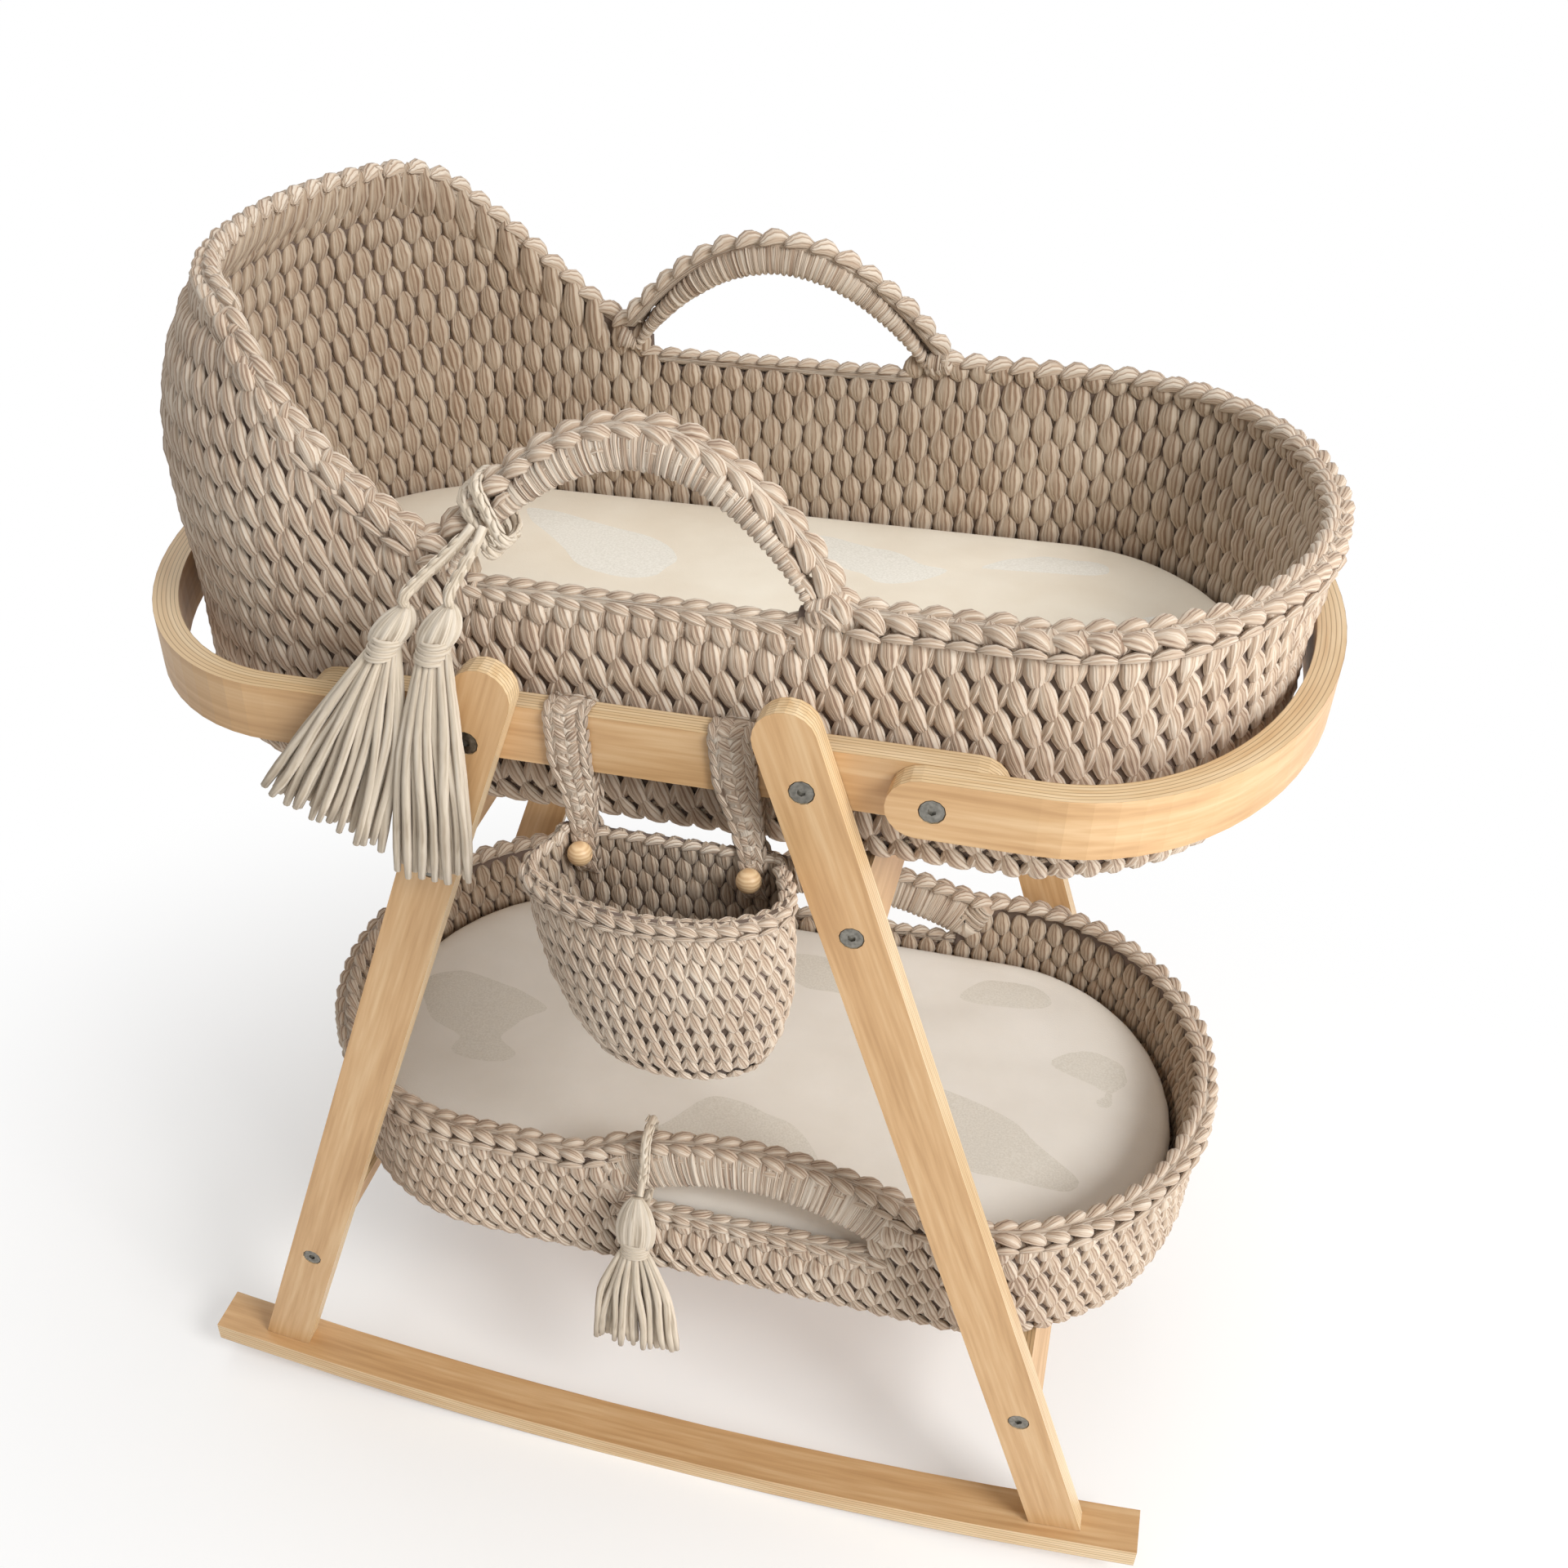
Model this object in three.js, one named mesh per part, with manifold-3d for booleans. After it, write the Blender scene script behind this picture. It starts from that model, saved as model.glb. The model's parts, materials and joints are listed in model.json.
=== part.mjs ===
// Hanging baby cradle: a bolted birch plywood stand on two rockers, with an oval carrying basket
// in its upper ring, a low changing basket on its lower bars and a small pocket basket on its rail.
// Millimetres, +Z up. X runs from the hood end to the foot end, and the front faces -Y.
// The origin is on the floor, under the middle of the whole object's outer box.

import * as THREE from "three";
import Module from "manifold-3d";
import { mergeVertices } from "three/addons/utils/BufferGeometryUtils.js";

const wasm = await Module();
wasm.setup();

// Sizes shared by many pieces

const PLY = 18; // thickness of every plywood strip
const STRIP = 39; // width of every plywood strip
const GAP = 0.3; // clearance between pieces that touch
const OVERRUN = 3; // how far a cutter passes the face that it cuts

// Stand

const RAIL_CLEARANCE = 7.9; // upper basket's straight sides to the rails
const LEG_TOP_X = 93.2; // centre of the round leg top
const LEG_TOP_Z = 734.6;
const LEG_LEAN = THREE.MathUtils.degToRad(19.3);
const ROCKER_OVERHANG = 49.55; // rocker's end past the legs' line at the floor
const ROCKER_RISE = 30; // how far the rocker's ends stand over the floor
const ROCKER_POINTS_SHARES = [0.1125, 0.27, 0.42, 0.57, 0.71, 0.96, 1]; // of the half length
const RING_MID_Z = 702; // middle of the rails' and bends' width
const RAIL_REACH_X = 221; // tip of a side rail
const BEND_TIP_X = 153; // where a bend's end overlaps the rail
const BEND_STRAIGHT_RUN = 20; // straight part of a bend past the basket's straight side
const RING_CLEARANCE = 3; // upper basket's ends to the bends
const RING_BOLT_X = 180.4;
const UPPER_BAR_Z = 600.6;
const LOWER_BAR_Z = 162;

// Fasteners

const BOLT_HEAD_RADIUS = 7.5;
const BOLT_HEAD_HEIGHT = 3;
const BOLT_SHANK_RADIUS = 3;
const BOLT_SOCKET_RADIUS = 2.8;
const BOLT_SOCKET_DEPTH = 1.9;
const BOLT_SUNK = 0.4; // how far a head lies under the wood's face
const COUNTERBORE_RADIUS = 8.2;
const RAIL_BITE = 13; // length of bolt in a rail
const BAR_BITE = 34; // length of bolt in a crossbar
const SCREW_HEAD_RADIUS = 4.6;
const SCREW_HEAD_HEIGHT = 3.2;
const SCREW_SHANK_RADIUS = 2;
const SCREW_BITE = 28; // length of screw in a leg
const SCREW_SUNK = 2;
const HOLE_BLIND_SPARE = 1; // empty depth past a bolt's tip

// Upper basket

const UPPER_STRAIGHT = 220; // half of the straight side
const UPPER_END = 163; // how far the round end reaches past the straight side
const UPPER_HALF_WIDTH = 200.5;
const UPPER_RIM_Z = 806; // top of the braid round the rim
const UPPER_FLARE_SIDE = 5; // how far the rim leans out past the wall's middle
const UPPER_FLARE_END = 6;
const UPPER_FLARE_START_Z = 727;
const HOOD_RISE = 128; // hood's braid over the rim
const HOOD_FOOT_X = -84; // where the hood starts to rise
const HOOD_TOP_X = -318; // where it has its full height
const HOOD_RISE_SHARE = 1.1; // power that makes the rise slower at its foot
const HOOD_LEAN_END = 54; // how far its top leans in at the head end
const HOOD_LEAN_SIDE = 37;
const HOOD_LEAN_SHARE = 2.2; // power that bends the lean towards the top
const UPPER_SHEET_TOP_Z = 676; // mattress edge, without its crown
const UPPER_HANDLE_X = -12;
const UPPER_OPENING_DROP = 18; // opening's braid under the rim
const UPPER_HANDLE_RISE = 86; // handle over the rim
const UPPER_HANDLE_LEAN = 27; // how far its top leans in
const UPPER_ARCH_RISE = 70; // opening's height over its own braid

// Lower basket

const LOWER_SHIFT_X = 32; // it lies nearer to the foot end
const LOWER_STRAIGHT = 190;
const LOWER_END = 176;
const LOWER_SIDE_ROOM = 22.2; // its straight sides to the legs
const LOWER_RIM_Z = 319;
const LOWER_FLARE_SIDE = 2.5;
const LOWER_FLARE_END = 3;
const LOWER_FLARE_START_Z = 262;
const LOWER_SHEET_TOP_Z = 258;
const LOWER_HANDLE_X = 70;
const LOWER_OPENING_DROP = 54;
const LOWER_HANDLE_RISE = 24;
const LOWER_ARCH_RISE = 32;
const LOWER_HANDLE_LEAN = 13;

// Both baskets

const WALL = 18; // crochet wall's thickness
const WALL_FOOT_IN = 14; // how far the wall's foot is drawn in
const WALL_FOOT_THICKNESS = 10;
const WALL_KNEE = 30; // height where the foot has its full width
const BRAID = 11; // radius of the rim's braid
const BRAID_OUT = 2.5; // how far the braid stands past the wall
const HANDLE_THICKNESS = 20;
const HANDLE_EDGE = 5; // rounding of a handle's edges
const HANDLE_BOW_SHARE = 0.8; // power that makes its bow fuller than a wave
const HANDLE_OUTER_SPAN = 125; // half of the handle's outer span
const HANDLE_FOOT_WIDTH = 28;
const BOARD = 6; // base board's thickness
const SHEET = 1.5;
const SHEET_HEM = 32; // how far the sheet's hem is tucked under the mattress
const MATTRESS_CROWN = 5;
const MATTRESS_CLEARANCE = 1.6; // mattress to wall
const MATTRESS_TUCK = 9; // how far the mattress's lower edge is drawn in
const MATTRESS_ROUND = 12; // rounding of its upper edge
const ARC_STEPS = 7; // steps in a quarter of a plan's round end

// Tassels and their cords

const CORD_RADIUS = 3;
const CORD_CLEARANCE = 3; // cord to the sloping top and underside of the handle that it goes round
const CORD_TURN_SHARE = 0.45; // power that makes its turn there fuller than an ellipse
const UPPER_TIE_SHARE = -0.704; // where a cord goes round its handle, of half of its span
const LOWER_TIE_SHARE = -0.648;
const LOWER_LOOP_SHARE = 0.7575; // how much of a turn the lower cord makes
const CORD_DROP = 6; // length in which a cord comes down to a tassel
const TASSEL_DEPTH = 9.5; // half of the skirt's depth where it lies against the wood
const TASSEL_HANG_OUT = 12.6; // skirt's middle past the legs' outer face
const TASSEL_HEAD_OUT = 1.5; // head's middle behind the legs' outer face
const TASSEL_HEAD_SHARES = [0.42, 0.86, 1, 0.92]; // head's rings, of its radius
// X past the cord's turn and Z of each tassel's top, wrapped neck, skirt's middle and hem, and
// half of its widths
const TASSEL_A = {
  top: [-34, 791],
  wrap: [-47, 768],
  mid: [-72, 706],
  foot: [-103, 633],
  head: 12.5,
  neck: 11,
  spread: 41,
  hemSlopeShare: -0.45,
};
const TASSEL_B = {
  top: [-6, 795],
  wrap: [-16, 770],
  mid: [-22, 702],
  foot: [-29, 604],
  head: 12.5,
  neck: 11,
  spread: 25,
  hemSlopeShare: 0,
};
const LOWER_TASSEL = {
  top: [-2, 291],
  wrap: [-5, 234],
  mid: [-6, 176],
  foot: [-7, 110],
  head: 15.5,
  neck: 13,
  spread: 38,
  hemSlopeShare: 0,
};
const LOWER_TASSEL_DEPTH = 7;

// Pocket basket

const POCKET_X = 24;
const POCKET_HALF_LENGTH = 84;
const POCKET_HALF_WIDTH = 44;
const POCKET_RIM_Z = 645;
const POCKET_DEPTH = 143;
const POCKET_WALL = 7;
const POCKET_SWAY = 15; // how far the bottom hangs to the foot end
const STRAP_THICKNESS = 3.2;
const STRAP_WIDTH = 30;
const STRAP_END_WIDTH = 15; // at the bead
const STRAP_TAPER_RUN = 40; // height in which it narrows
// Middle of each strap over the rail, and its sideways run as a share of its drop
const STRAPS = { head: { x: -46, leanShare: 0.06 }, foot: { x: 57, leanShare: 0.12 } };
const STRAP_END_UNDER_RIM = 31;
const STRAP_BEND_RUN = 22; // height in which a strap steps in or out below the rail
const STRAP_CORNER = 1.4; // a strap's bend over the rail's edges
const BEAD_RADIUS = 8;
const BEAD_UNDER_RIM = 11;

const ROUND_OFF = 1e-9; // below this a cosine counts as zero

// Places that follow from the sizes

const halfStrip = STRIP / 2;
const halfPly = PLY / 2;
const railBackY = UPPER_HALF_WIDTH + RAIL_CLEARANCE;
const railFaceY = railBackY + PLY;
const legInnerY = railFaceY + GAP;
const lowerHalfWidth = legInnerY - LOWER_SIDE_ROOM;
const legMidY = legInnerY + halfPly;
const legFaceY = legInnerY + PLY;
const bendStraightX = UPPER_STRAIGHT + BEND_STRAIGHT_RUN;
const ringReachX = UPPER_STRAIGHT + UPPER_END + RING_CLEARANCE + PLY;
const railTopZ = RING_MID_Z + halfStrip;
const railUnderZ = RING_MID_Z - halfStrip;
const lean = { cos: Math.cos(LEG_LEAN), sin: Math.sin(LEG_LEAN), tan: Math.tan(LEG_LEAN) };
const barTopRise = halfStrip * lean.cos + halfPly * lean.sin;
const upperFloorZ = UPPER_BAR_Z + barTopRise + GAP;
const lowerFloorZ = LOWER_BAR_Z + barTopRise + GAP;
const legX = (z) => LEG_TOP_X + (LEG_TOP_Z - z) * lean.tan;
const rockerHalfLength = legX(0) + ROCKER_OVERHANG;
const handleInnerSpan = HANDLE_OUTER_SPAN - HANDLE_FOOT_WIDTH;
const strapHalf = STRAP_THICKNESS / 2;
const pocketBackY = railFaceY + GAP + strapHalf; // back of the pocket's wall, between its strap's two runs
const pocketY = -(pocketBackY + POCKET_HALF_WIDTH);
const pocketFloorZ = POCKET_RIM_Z - POCKET_DEPTH;

const paint = (color, roughness, metalness = 0) => new THREE.MeshStandardMaterial({ color, roughness, metalness });
const birch = paint(0xd2a56c, 0.45);
const steel = paint(0x55534f, 0.4, 1);
const crochet = paint(0xb9a497, 0.95);
const tasselYarn = paint(0xcfc3b0, 0.95);
const cotton = paint(0xd6cbb8, 0.95);
const foam = paint(0xe8e4da, 0.95);
const beadWood = paint(0xe2c79e, 0.6);

// Shared helpers

function mesh(name, geometry, material, x = 0, y = 0, z = 0) {
  const made = new THREE.Mesh(geometry, material);
  made.name = name;
  made.position.set(x, y, z);
  return made;
}

function merged(geometry) {
  const bare = geometry.index ? geometry.toNonIndexed() : geometry.clone();
  bare.deleteAttribute("normal");
  bare.deleteAttribute("uv");
  return mergeVertices(bare);
}

function solid(geometry) {
  const closed = merged(geometry);
  return new wasm.Manifold(
    new wasm.Mesh({
      numProp: 3,
      vertProperties: new Float32Array(closed.attributes.position.array),
      triVerts: new Uint32Array(closed.index.array),
    }),
  );
}

function surface(body) {
  const result = body.getMesh();
  const geometry = new THREE.BufferGeometry();
  geometry.setAttribute("position", new THREE.BufferAttribute(result.vertProperties, 3));
  geometry.setIndex(new THREE.BufferAttribute(result.triVerts, 1));
  geometry.computeVertexNormals();
  return geometry;
}

// A cylinder along Y, from one Y to another
function rodY(radius, fromY, toY, x, z, sides = 12) {
  const rod = new THREE.CylinderGeometry(radius, radius, toY - fromY, sides);
  return rod.translate(x, (fromY + toY) / 2, z);
}

// A cylinder along Z, from one Z to another
function rodZ(radius, fromZ, toZ, x, y, sides = 12) {
  const rod = new THREE.CylinderGeometry(radius, radius, toZ - fromZ, sides);
  return rod.rotateX(Math.PI / 2).translate(x, y, (fromZ + toZ) / 2);
}

function cut(geometry, cutters) {
  let body = solid(geometry);
  for (const cutter of cutters) {
    body = body.subtract(solid(cutter));
  }
  return surface(body);
}

// An outline in X and Z, made PLY thick towards -Y from Y = 0
function board(points) {
  const flat = new THREE.ExtrudeGeometry(new THREE.Shape(points), { depth: PLY, bevelEnabled: false });
  return flat.rotateX(Math.PI / 2);
}

// A skin over rows of points: each row is closed, and the rows close on themselves or end in two tips
function skin(rows, tips = null) {
  const count = rows[0].length;
  const points = rows.flat();
  const triangles = [];
  const at = (row, i) => (row % rows.length) * count + (i % count);
  const bands = tips ? rows.length - 1 : rows.length;
  for (let row = 0; row < bands; row++) {
    for (let i = 0; i < count; i++) {
      triangles.push(at(row, i), at(row, i + 1), at(row + 1, i + 1));
      triangles.push(at(row, i), at(row + 1, i + 1), at(row + 1, i));
    }
  }
  if (tips) {
    const [first, last] = [points.length, points.length + 1];
    points.push(...tips);
    for (let i = 0; i < count; i++) {
      triangles.push(first, at(0, i + 1), at(0, i));
      triangles.push(last, at(rows.length - 1, i), at(rows.length - 1, i + 1));
    }
  }
  const geometry = new THREE.BufferGeometry().setFromPoints(points);
  geometry.setIndex(triangles);
  geometry.computeVertexNormals();
  return geometry;
}

const point = (x, y, z) => new THREE.Vector3(x, y, z);
const mix = THREE.MathUtils.lerp;

// Stand: rockers, legs, rails, bends and bars

const rockerRadius = (rockerHalfLength ** 2 + ROCKER_RISE ** 2) / (2 * ROCKER_RISE);
const rockerSag = (x) => rockerRadius - Math.sqrt(rockerRadius ** 2 - x ** 2);
const rockerXs = ROCKER_POINTS_SHARES.map((share) => share * rockerHalfLength);
// The underside is flat between its first points, so that the cradle rests there
const rockerUnder = rockerXs.map((x) => new THREE.Vector2(x, rockerSag(x) - rockerSag(rockerXs[0])));

function rockerTopAt(x) {
  const next = rockerUnder.findIndex((p) => p.x > Math.abs(x));
  const [a, b] = [rockerUnder[next - 1], rockerUnder[next]];
  return PLY + mix(a.y, b.y, (Math.abs(x) - a.x) / (b.x - a.x));
}

// Where a line down the leg, off its middle by a distance, meets the rocker's top
function legFoot(off) {
  let z = rockerTopAt(legX(0));
  const x = () => legX(z) + off / lean.cos;
  for (let turn = 0; turn < rockerXs.length; turn++) {
    z = rockerTopAt(x()) + GAP;
  }
  return new THREE.Vector2(x(), z);
}

const footMid = legFoot(0);

function rocker() {
  const under = [...rockerUnder.map((p) => new THREE.Vector2(-p.x, p.y)).reverse(), ...rockerUnder];
  const top = under.map((p) => new THREE.Vector2(p.x, p.y + PLY)).reverse();
  const flat = new THREE.Shape([...under, ...top]);
  const strip = new THREE.ExtrudeGeometry(flat, { depth: STRIP, bevelEnabled: false });
  strip.rotateX(Math.PI / 2).translate(0, halfStrip, 0);
  const sunkZ = footMid.y - PLY + SCREW_SUNK + SCREW_HEAD_HEIGHT + GAP;
  const cutters = [-1, 1].flatMap((side) => [
    rodZ(SCREW_HEAD_RADIUS + GAP, -OVERRUN, sunkZ, side * footMid.x, 0),
    rodZ(SCREW_SHANK_RADIUS + GAP, -OVERRUN, footMid.y + OVERRUN, side * footMid.x, 0, 8),
  ]);
  return cut(strip, cutters);
}

function leg(side) {
  const [from, to] = [LEG_LEAN + Math.PI, LEG_LEAN];
  const top = new THREE.EllipseCurve(LEG_TOP_X, LEG_TOP_Z, halfStrip, halfStrip, from, to, true);
  const outline = [legFoot(-halfStrip), ...top.getPoints(10), legFoot(halfStrip)];
  const points = outline.map((p) => new THREE.Vector2(side * p.x, p.y));
  const cutters = [RING_MID_Z, UPPER_BAR_Z, LOWER_BAR_Z].flatMap((z) => [
    rodY(COUNTERBORE_RADIUS, -PLY - OVERRUN, BOLT_HEAD_HEIGHT + BOLT_SUNK - PLY, side * legX(z), z),
    rodY(BOLT_SHANK_RADIUS + GAP, -PLY - OVERRUN, OVERRUN, side * legX(z), z, 8),
  ]);
  const pilotTop = footMid.y + SCREW_BITE + HOLE_BLIND_SPARE;
  cutters.push(
    rodZ(SCREW_SHANK_RADIUS + GAP, footMid.y - OVERRUN, pilotTop, side * footMid.x, -halfPly, 8),
  );
  return cut(board(side > 0 ? points : points.reverse()), cutters);
}

// A strip with round ends, between two X places
function roundEnded(fromX, toX, midZ) {
  const shape = new THREE.Shape();
  shape.absarc(toX - halfStrip, midZ, halfStrip, -Math.PI / 2, Math.PI / 2, false);
  shape.absarc(fromX + halfStrip, midZ, halfStrip, Math.PI / 2, (3 * Math.PI) / 2, false);
  return shape.getPoints(5);
}

function sideRail() {
  const places = [-RING_BOLT_X, -legX(RING_MID_Z), legX(RING_MID_Z), RING_BOLT_X];
  const depth = RAIL_BITE + HOLE_BLIND_SPARE;
  const cutters = places.map((x) =>
    rodY(BOLT_SHANK_RADIUS + GAP, -PLY - OVERRUN, depth - PLY, x, RING_MID_Z, 8),
  );
  return cut(board(roundEnded(-RAIL_REACH_X, RAIL_REACH_X, RING_MID_Z)), cutters);
}

// The foot end's bend: a U in plan, cut from a tall strip and rounded at both tips
function ringBend() {
  const shape = new THREE.Shape();
  const outer = ringReachX - bendStraightX;
  shape.moveTo(BEND_TIP_X, -legFaceY);
  shape.lineTo(bendStraightX, -legFaceY);
  shape.absellipse(bendStraightX, 0, outer, legFaceY, -Math.PI / 2, Math.PI / 2, false);
  shape.lineTo(BEND_TIP_X, legFaceY);
  shape.lineTo(BEND_TIP_X, legInnerY);
  shape.absellipse(bendStraightX, 0, outer - PLY, legInnerY, Math.PI / 2, -Math.PI / 2, true);
  shape.lineTo(BEND_TIP_X, -legInnerY);
  const tall = { depth: STRIP, bevelEnabled: false, curveSegments: 18 };
  const plan = new THREE.ExtrudeGeometry(shape, tall).translate(0, 0, railUnderZ);
  const side = new THREE.Shape(roundEnded(BEND_TIP_X, ringReachX + STRIP, RING_MID_Z));
  const deep = { depth: 2 * legFaceY + 2 * OVERRUN, bevelEnabled: false };
  const tips = new THREE.ExtrudeGeometry(side, deep).rotateX(Math.PI / 2).translate(0, deep.depth / 2, 0);
  let body = solid(plan).intersect(solid(tips));
  for (const side of [-1, 1]) {
    const face = side * legFaceY;
    const seat = face - side * (BOLT_HEAD_HEIGHT + BOLT_SUNK);
    const past = face + side * OVERRUN;
    const through = face - side * (PLY + OVERRUN);
    const span = (a, b) => [Math.min(a, b), Math.max(a, b)];
    body = body.subtract(solid(rodY(COUNTERBORE_RADIUS, ...span(seat, past), RING_BOLT_X, RING_MID_Z)));
    const hole = rodY(BOLT_SHANK_RADIUS + GAP, ...span(through, past), RING_BOLT_X, RING_MID_Z, 8);
    body = body.subtract(solid(hole));
  }
  return surface(body);
}

function crossbar(side) {
  const bar = new THREE.BoxGeometry(PLY, 2 * railFaceY, STRIP).rotateY(-side * LEG_LEAN);
  const depth = BAR_BITE + HOLE_BLIND_SPARE;
  const hole = (end) => {
    const tip = end * (railFaceY - depth);
    const past = end * (railFaceY + OVERRUN);
    return rodY(BOLT_SHANK_RADIUS + GAP, Math.min(tip, past), Math.max(tip, past), 0, 0, 8);
  };
  return cut(bar, [hole(-1), hole(1)]);
}

// A bolt along +Y, with its head's face at Y = 0 and a hexagonal socket in it
function bolt(length) {
  const head = rodY(BOLT_HEAD_RADIUS, 0, BOLT_HEAD_HEIGHT, 0, 0);
  const shank = rodY(BOLT_SHANK_RADIUS, BOLT_HEAD_HEIGHT / 2, length, 0, 0, 8);
  const socket = rodY(BOLT_SOCKET_RADIUS, -OVERRUN, BOLT_SOCKET_DEPTH, 0, 0, 6);
  return surface(solid(head).add(solid(shank)).subtract(solid(socket)));
}

// A screw along +Z, with its head's face at Z = 0 and a drawn-in tip
function screw(length) {
  const tip = SCREW_SHANK_RADIUS * 3;
  const profile = [
    new THREE.Vector2(0, 0),
    new THREE.Vector2(SCREW_HEAD_RADIUS, 0),
    new THREE.Vector2(SCREW_SHANK_RADIUS, SCREW_HEAD_HEIGHT),
    new THREE.Vector2(SCREW_SHANK_RADIUS, length - tip),
    new THREE.Vector2(0, length),
  ];
  return new THREE.LatheGeometry(profile, 10).rotateX(Math.PI / 2);
}

// One side of the stand, as it stands at the front; the rear is the same one turned half round
function standSide(place, endNames) {
  const group = new THREE.Group();
  const headY = -(legFaceY - BOLT_SUNK);
  const railLength = PLY - BOLT_SUNK + GAP + RAIL_BITE;
  const barLength = PLY - BOLT_SUNK + GAP + BAR_BITE;
  group.add(mesh(`rocker_${place}`, rocker(), birch, 0, -legMidY, 0));
  group.add(mesh(`side_rail_${place}`, sideRail(), birch, 0, -railBackY, 0));
  for (const side of [-1, 1]) {
    const end = `${place}_${endNames[side]}`;
    group.add(mesh(`leg_${end}`, leg(side), birch, 0, -legInnerY, 0));
    const ringX = side * legX(RING_MID_Z);
    group.add(mesh(`rail_bolt_${end}`, bolt(railLength), steel, ringX, headY, RING_MID_Z));
    group.add(mesh(`ring_bolt_${end}`, bolt(railLength), steel, side * RING_BOLT_X, headY, RING_MID_Z));
    const upperX = side * legX(UPPER_BAR_Z);
    group.add(mesh(`upper_bar_bolt_${end}`, bolt(barLength), steel, upperX, headY, UPPER_BAR_Z));
    const lowerX = side * legX(LOWER_BAR_Z);
    group.add(mesh(`lower_bar_bolt_${end}`, bolt(barLength), steel, lowerX, headY, LOWER_BAR_Z));
    const screwZ = footMid.y - GAP - PLY + SCREW_SUNK;
    const screwLength = PLY - SCREW_SUNK + GAP + SCREW_BITE;
    group.add(mesh(`rocker_screw_${end}`, screw(screwLength), steel, side * footMid.x, -legMidY, screwZ));
  }
  return group;
}

function stand() {
  const group = new THREE.Group();
  group.add(standSide("front", { [-1]: "head", [1]: "foot" }));
  const rear = standSide("rear", { [-1]: "foot", [1]: "head" });
  rear.rotation.z = Math.PI;
  group.add(rear);
  group.add(mesh("ring_bend_foot", ringBend(), birch));
  const headBend = mesh("ring_bend_head", ringBend(), birch);
  headBend.rotation.z = Math.PI;
  group.add(headBend);
  for (const [end, side] of [["head", -1], ["foot", 1]]) {
    const upperX = side * legX(UPPER_BAR_Z);
    group.add(mesh(`upper_crossbar_${end}`, crossbar(side), birch, upperX, 0, UPPER_BAR_Z));
    const lowerX = side * legX(LOWER_BAR_Z);
    group.add(mesh(`lower_crossbar_${end}`, crossbar(side), birch, lowerX, 0, LOWER_BAR_Z));
  }
  return group;
}

// Baskets: an oval plan with straight sides and elliptical ends

// Stations round the plan, from the front right corner round by the foot end. A station on a
// straight side has cos 0, and its x0 is its own place
function stations(straight, sideXs) {
  const list = [];
  for (const end of [1, -1]) {
    for (let step = 0; step <= 2 * ARC_STEPS; step++) {
      const angle = (end * Math.PI) / -2 + (step * Math.PI) / (2 * ARC_STEPS);
      list.push({ x0: end * straight, cos: Math.cos(angle), sin: Math.sin(angle) });
    }
    const xs = [...sideXs].sort((a, b) => end * (b - a));
    list.push(...xs.map((x) => ({ x0: x, cos: 0, sin: end })));
  }
  return list;
}

const around = (list, end, halfWidth, z, inset = 0, share = 1) =>
  list.map((s) => {
    const x = s.x0 + (end - inset) * s.cos;
    return point(share * x, share * (halfWidth - inset) * s.sin, typeof z === "function" ? z(x, s) : z);
  });

const upper = {
  straight: UPPER_STRAIGHT,
  end: UPPER_END,
  halfWidth: UPPER_HALF_WIDTH,
  floorZ: upperFloorZ,
  rimZ: UPPER_RIM_Z,
  flareSide: UPPER_FLARE_SIDE,
  flareEnd: UPPER_FLARE_END,
  flareStartZ: UPPER_FLARE_START_Z,
  sheetTopZ: UPPER_SHEET_TOP_Z,
  handleX: UPPER_HANDLE_X,
  openingZ: UPPER_RIM_Z - UPPER_OPENING_DROP,
  handleRise: UPPER_HANDLE_RISE,
  handleLean: UPPER_HANDLE_LEAN,
  archRise: UPPER_ARCH_RISE,
  hoodRise: HOOD_RISE,
};

const lower = {
  straight: LOWER_STRAIGHT,
  end: LOWER_END,
  halfWidth: lowerHalfWidth,
  floorZ: lowerFloorZ,
  rimZ: LOWER_RIM_Z,
  flareSide: LOWER_FLARE_SIDE,
  flareEnd: LOWER_FLARE_END,
  flareStartZ: LOWER_FLARE_START_Z,
  sheetTopZ: LOWER_SHEET_TOP_Z,
  handleX: LOWER_HANDLE_X - LOWER_SHIFT_X,
  openingZ: LOWER_RIM_Z - LOWER_OPENING_DROP,
  handleRise: LOWER_HANDLE_RISE,
  handleLean: LOWER_HANDLE_LEAN,
  archRise: LOWER_ARCH_RISE,
  hoodRise: 0,
};

// Top of the wall at an X: the rim, the lower edge under a handle, or the hood
function wallTop(basket, x, onSide) {
  if (onSide && Math.abs(x - basket.handleX) < HANDLE_OUTER_SPAN + 2 * GAP) {
    return basket.openingZ;
  }
  const run = THREE.MathUtils.clamp((HOOD_FOOT_X - x) / (HOOD_FOOT_X - HOOD_TOP_X), 0, 1);
  const eased = THREE.MathUtils.smoothstep(run ** HOOD_RISE_SHARE, 0, 1);
  return basket.rimZ + basket.hoodRise * eased;
}

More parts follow.
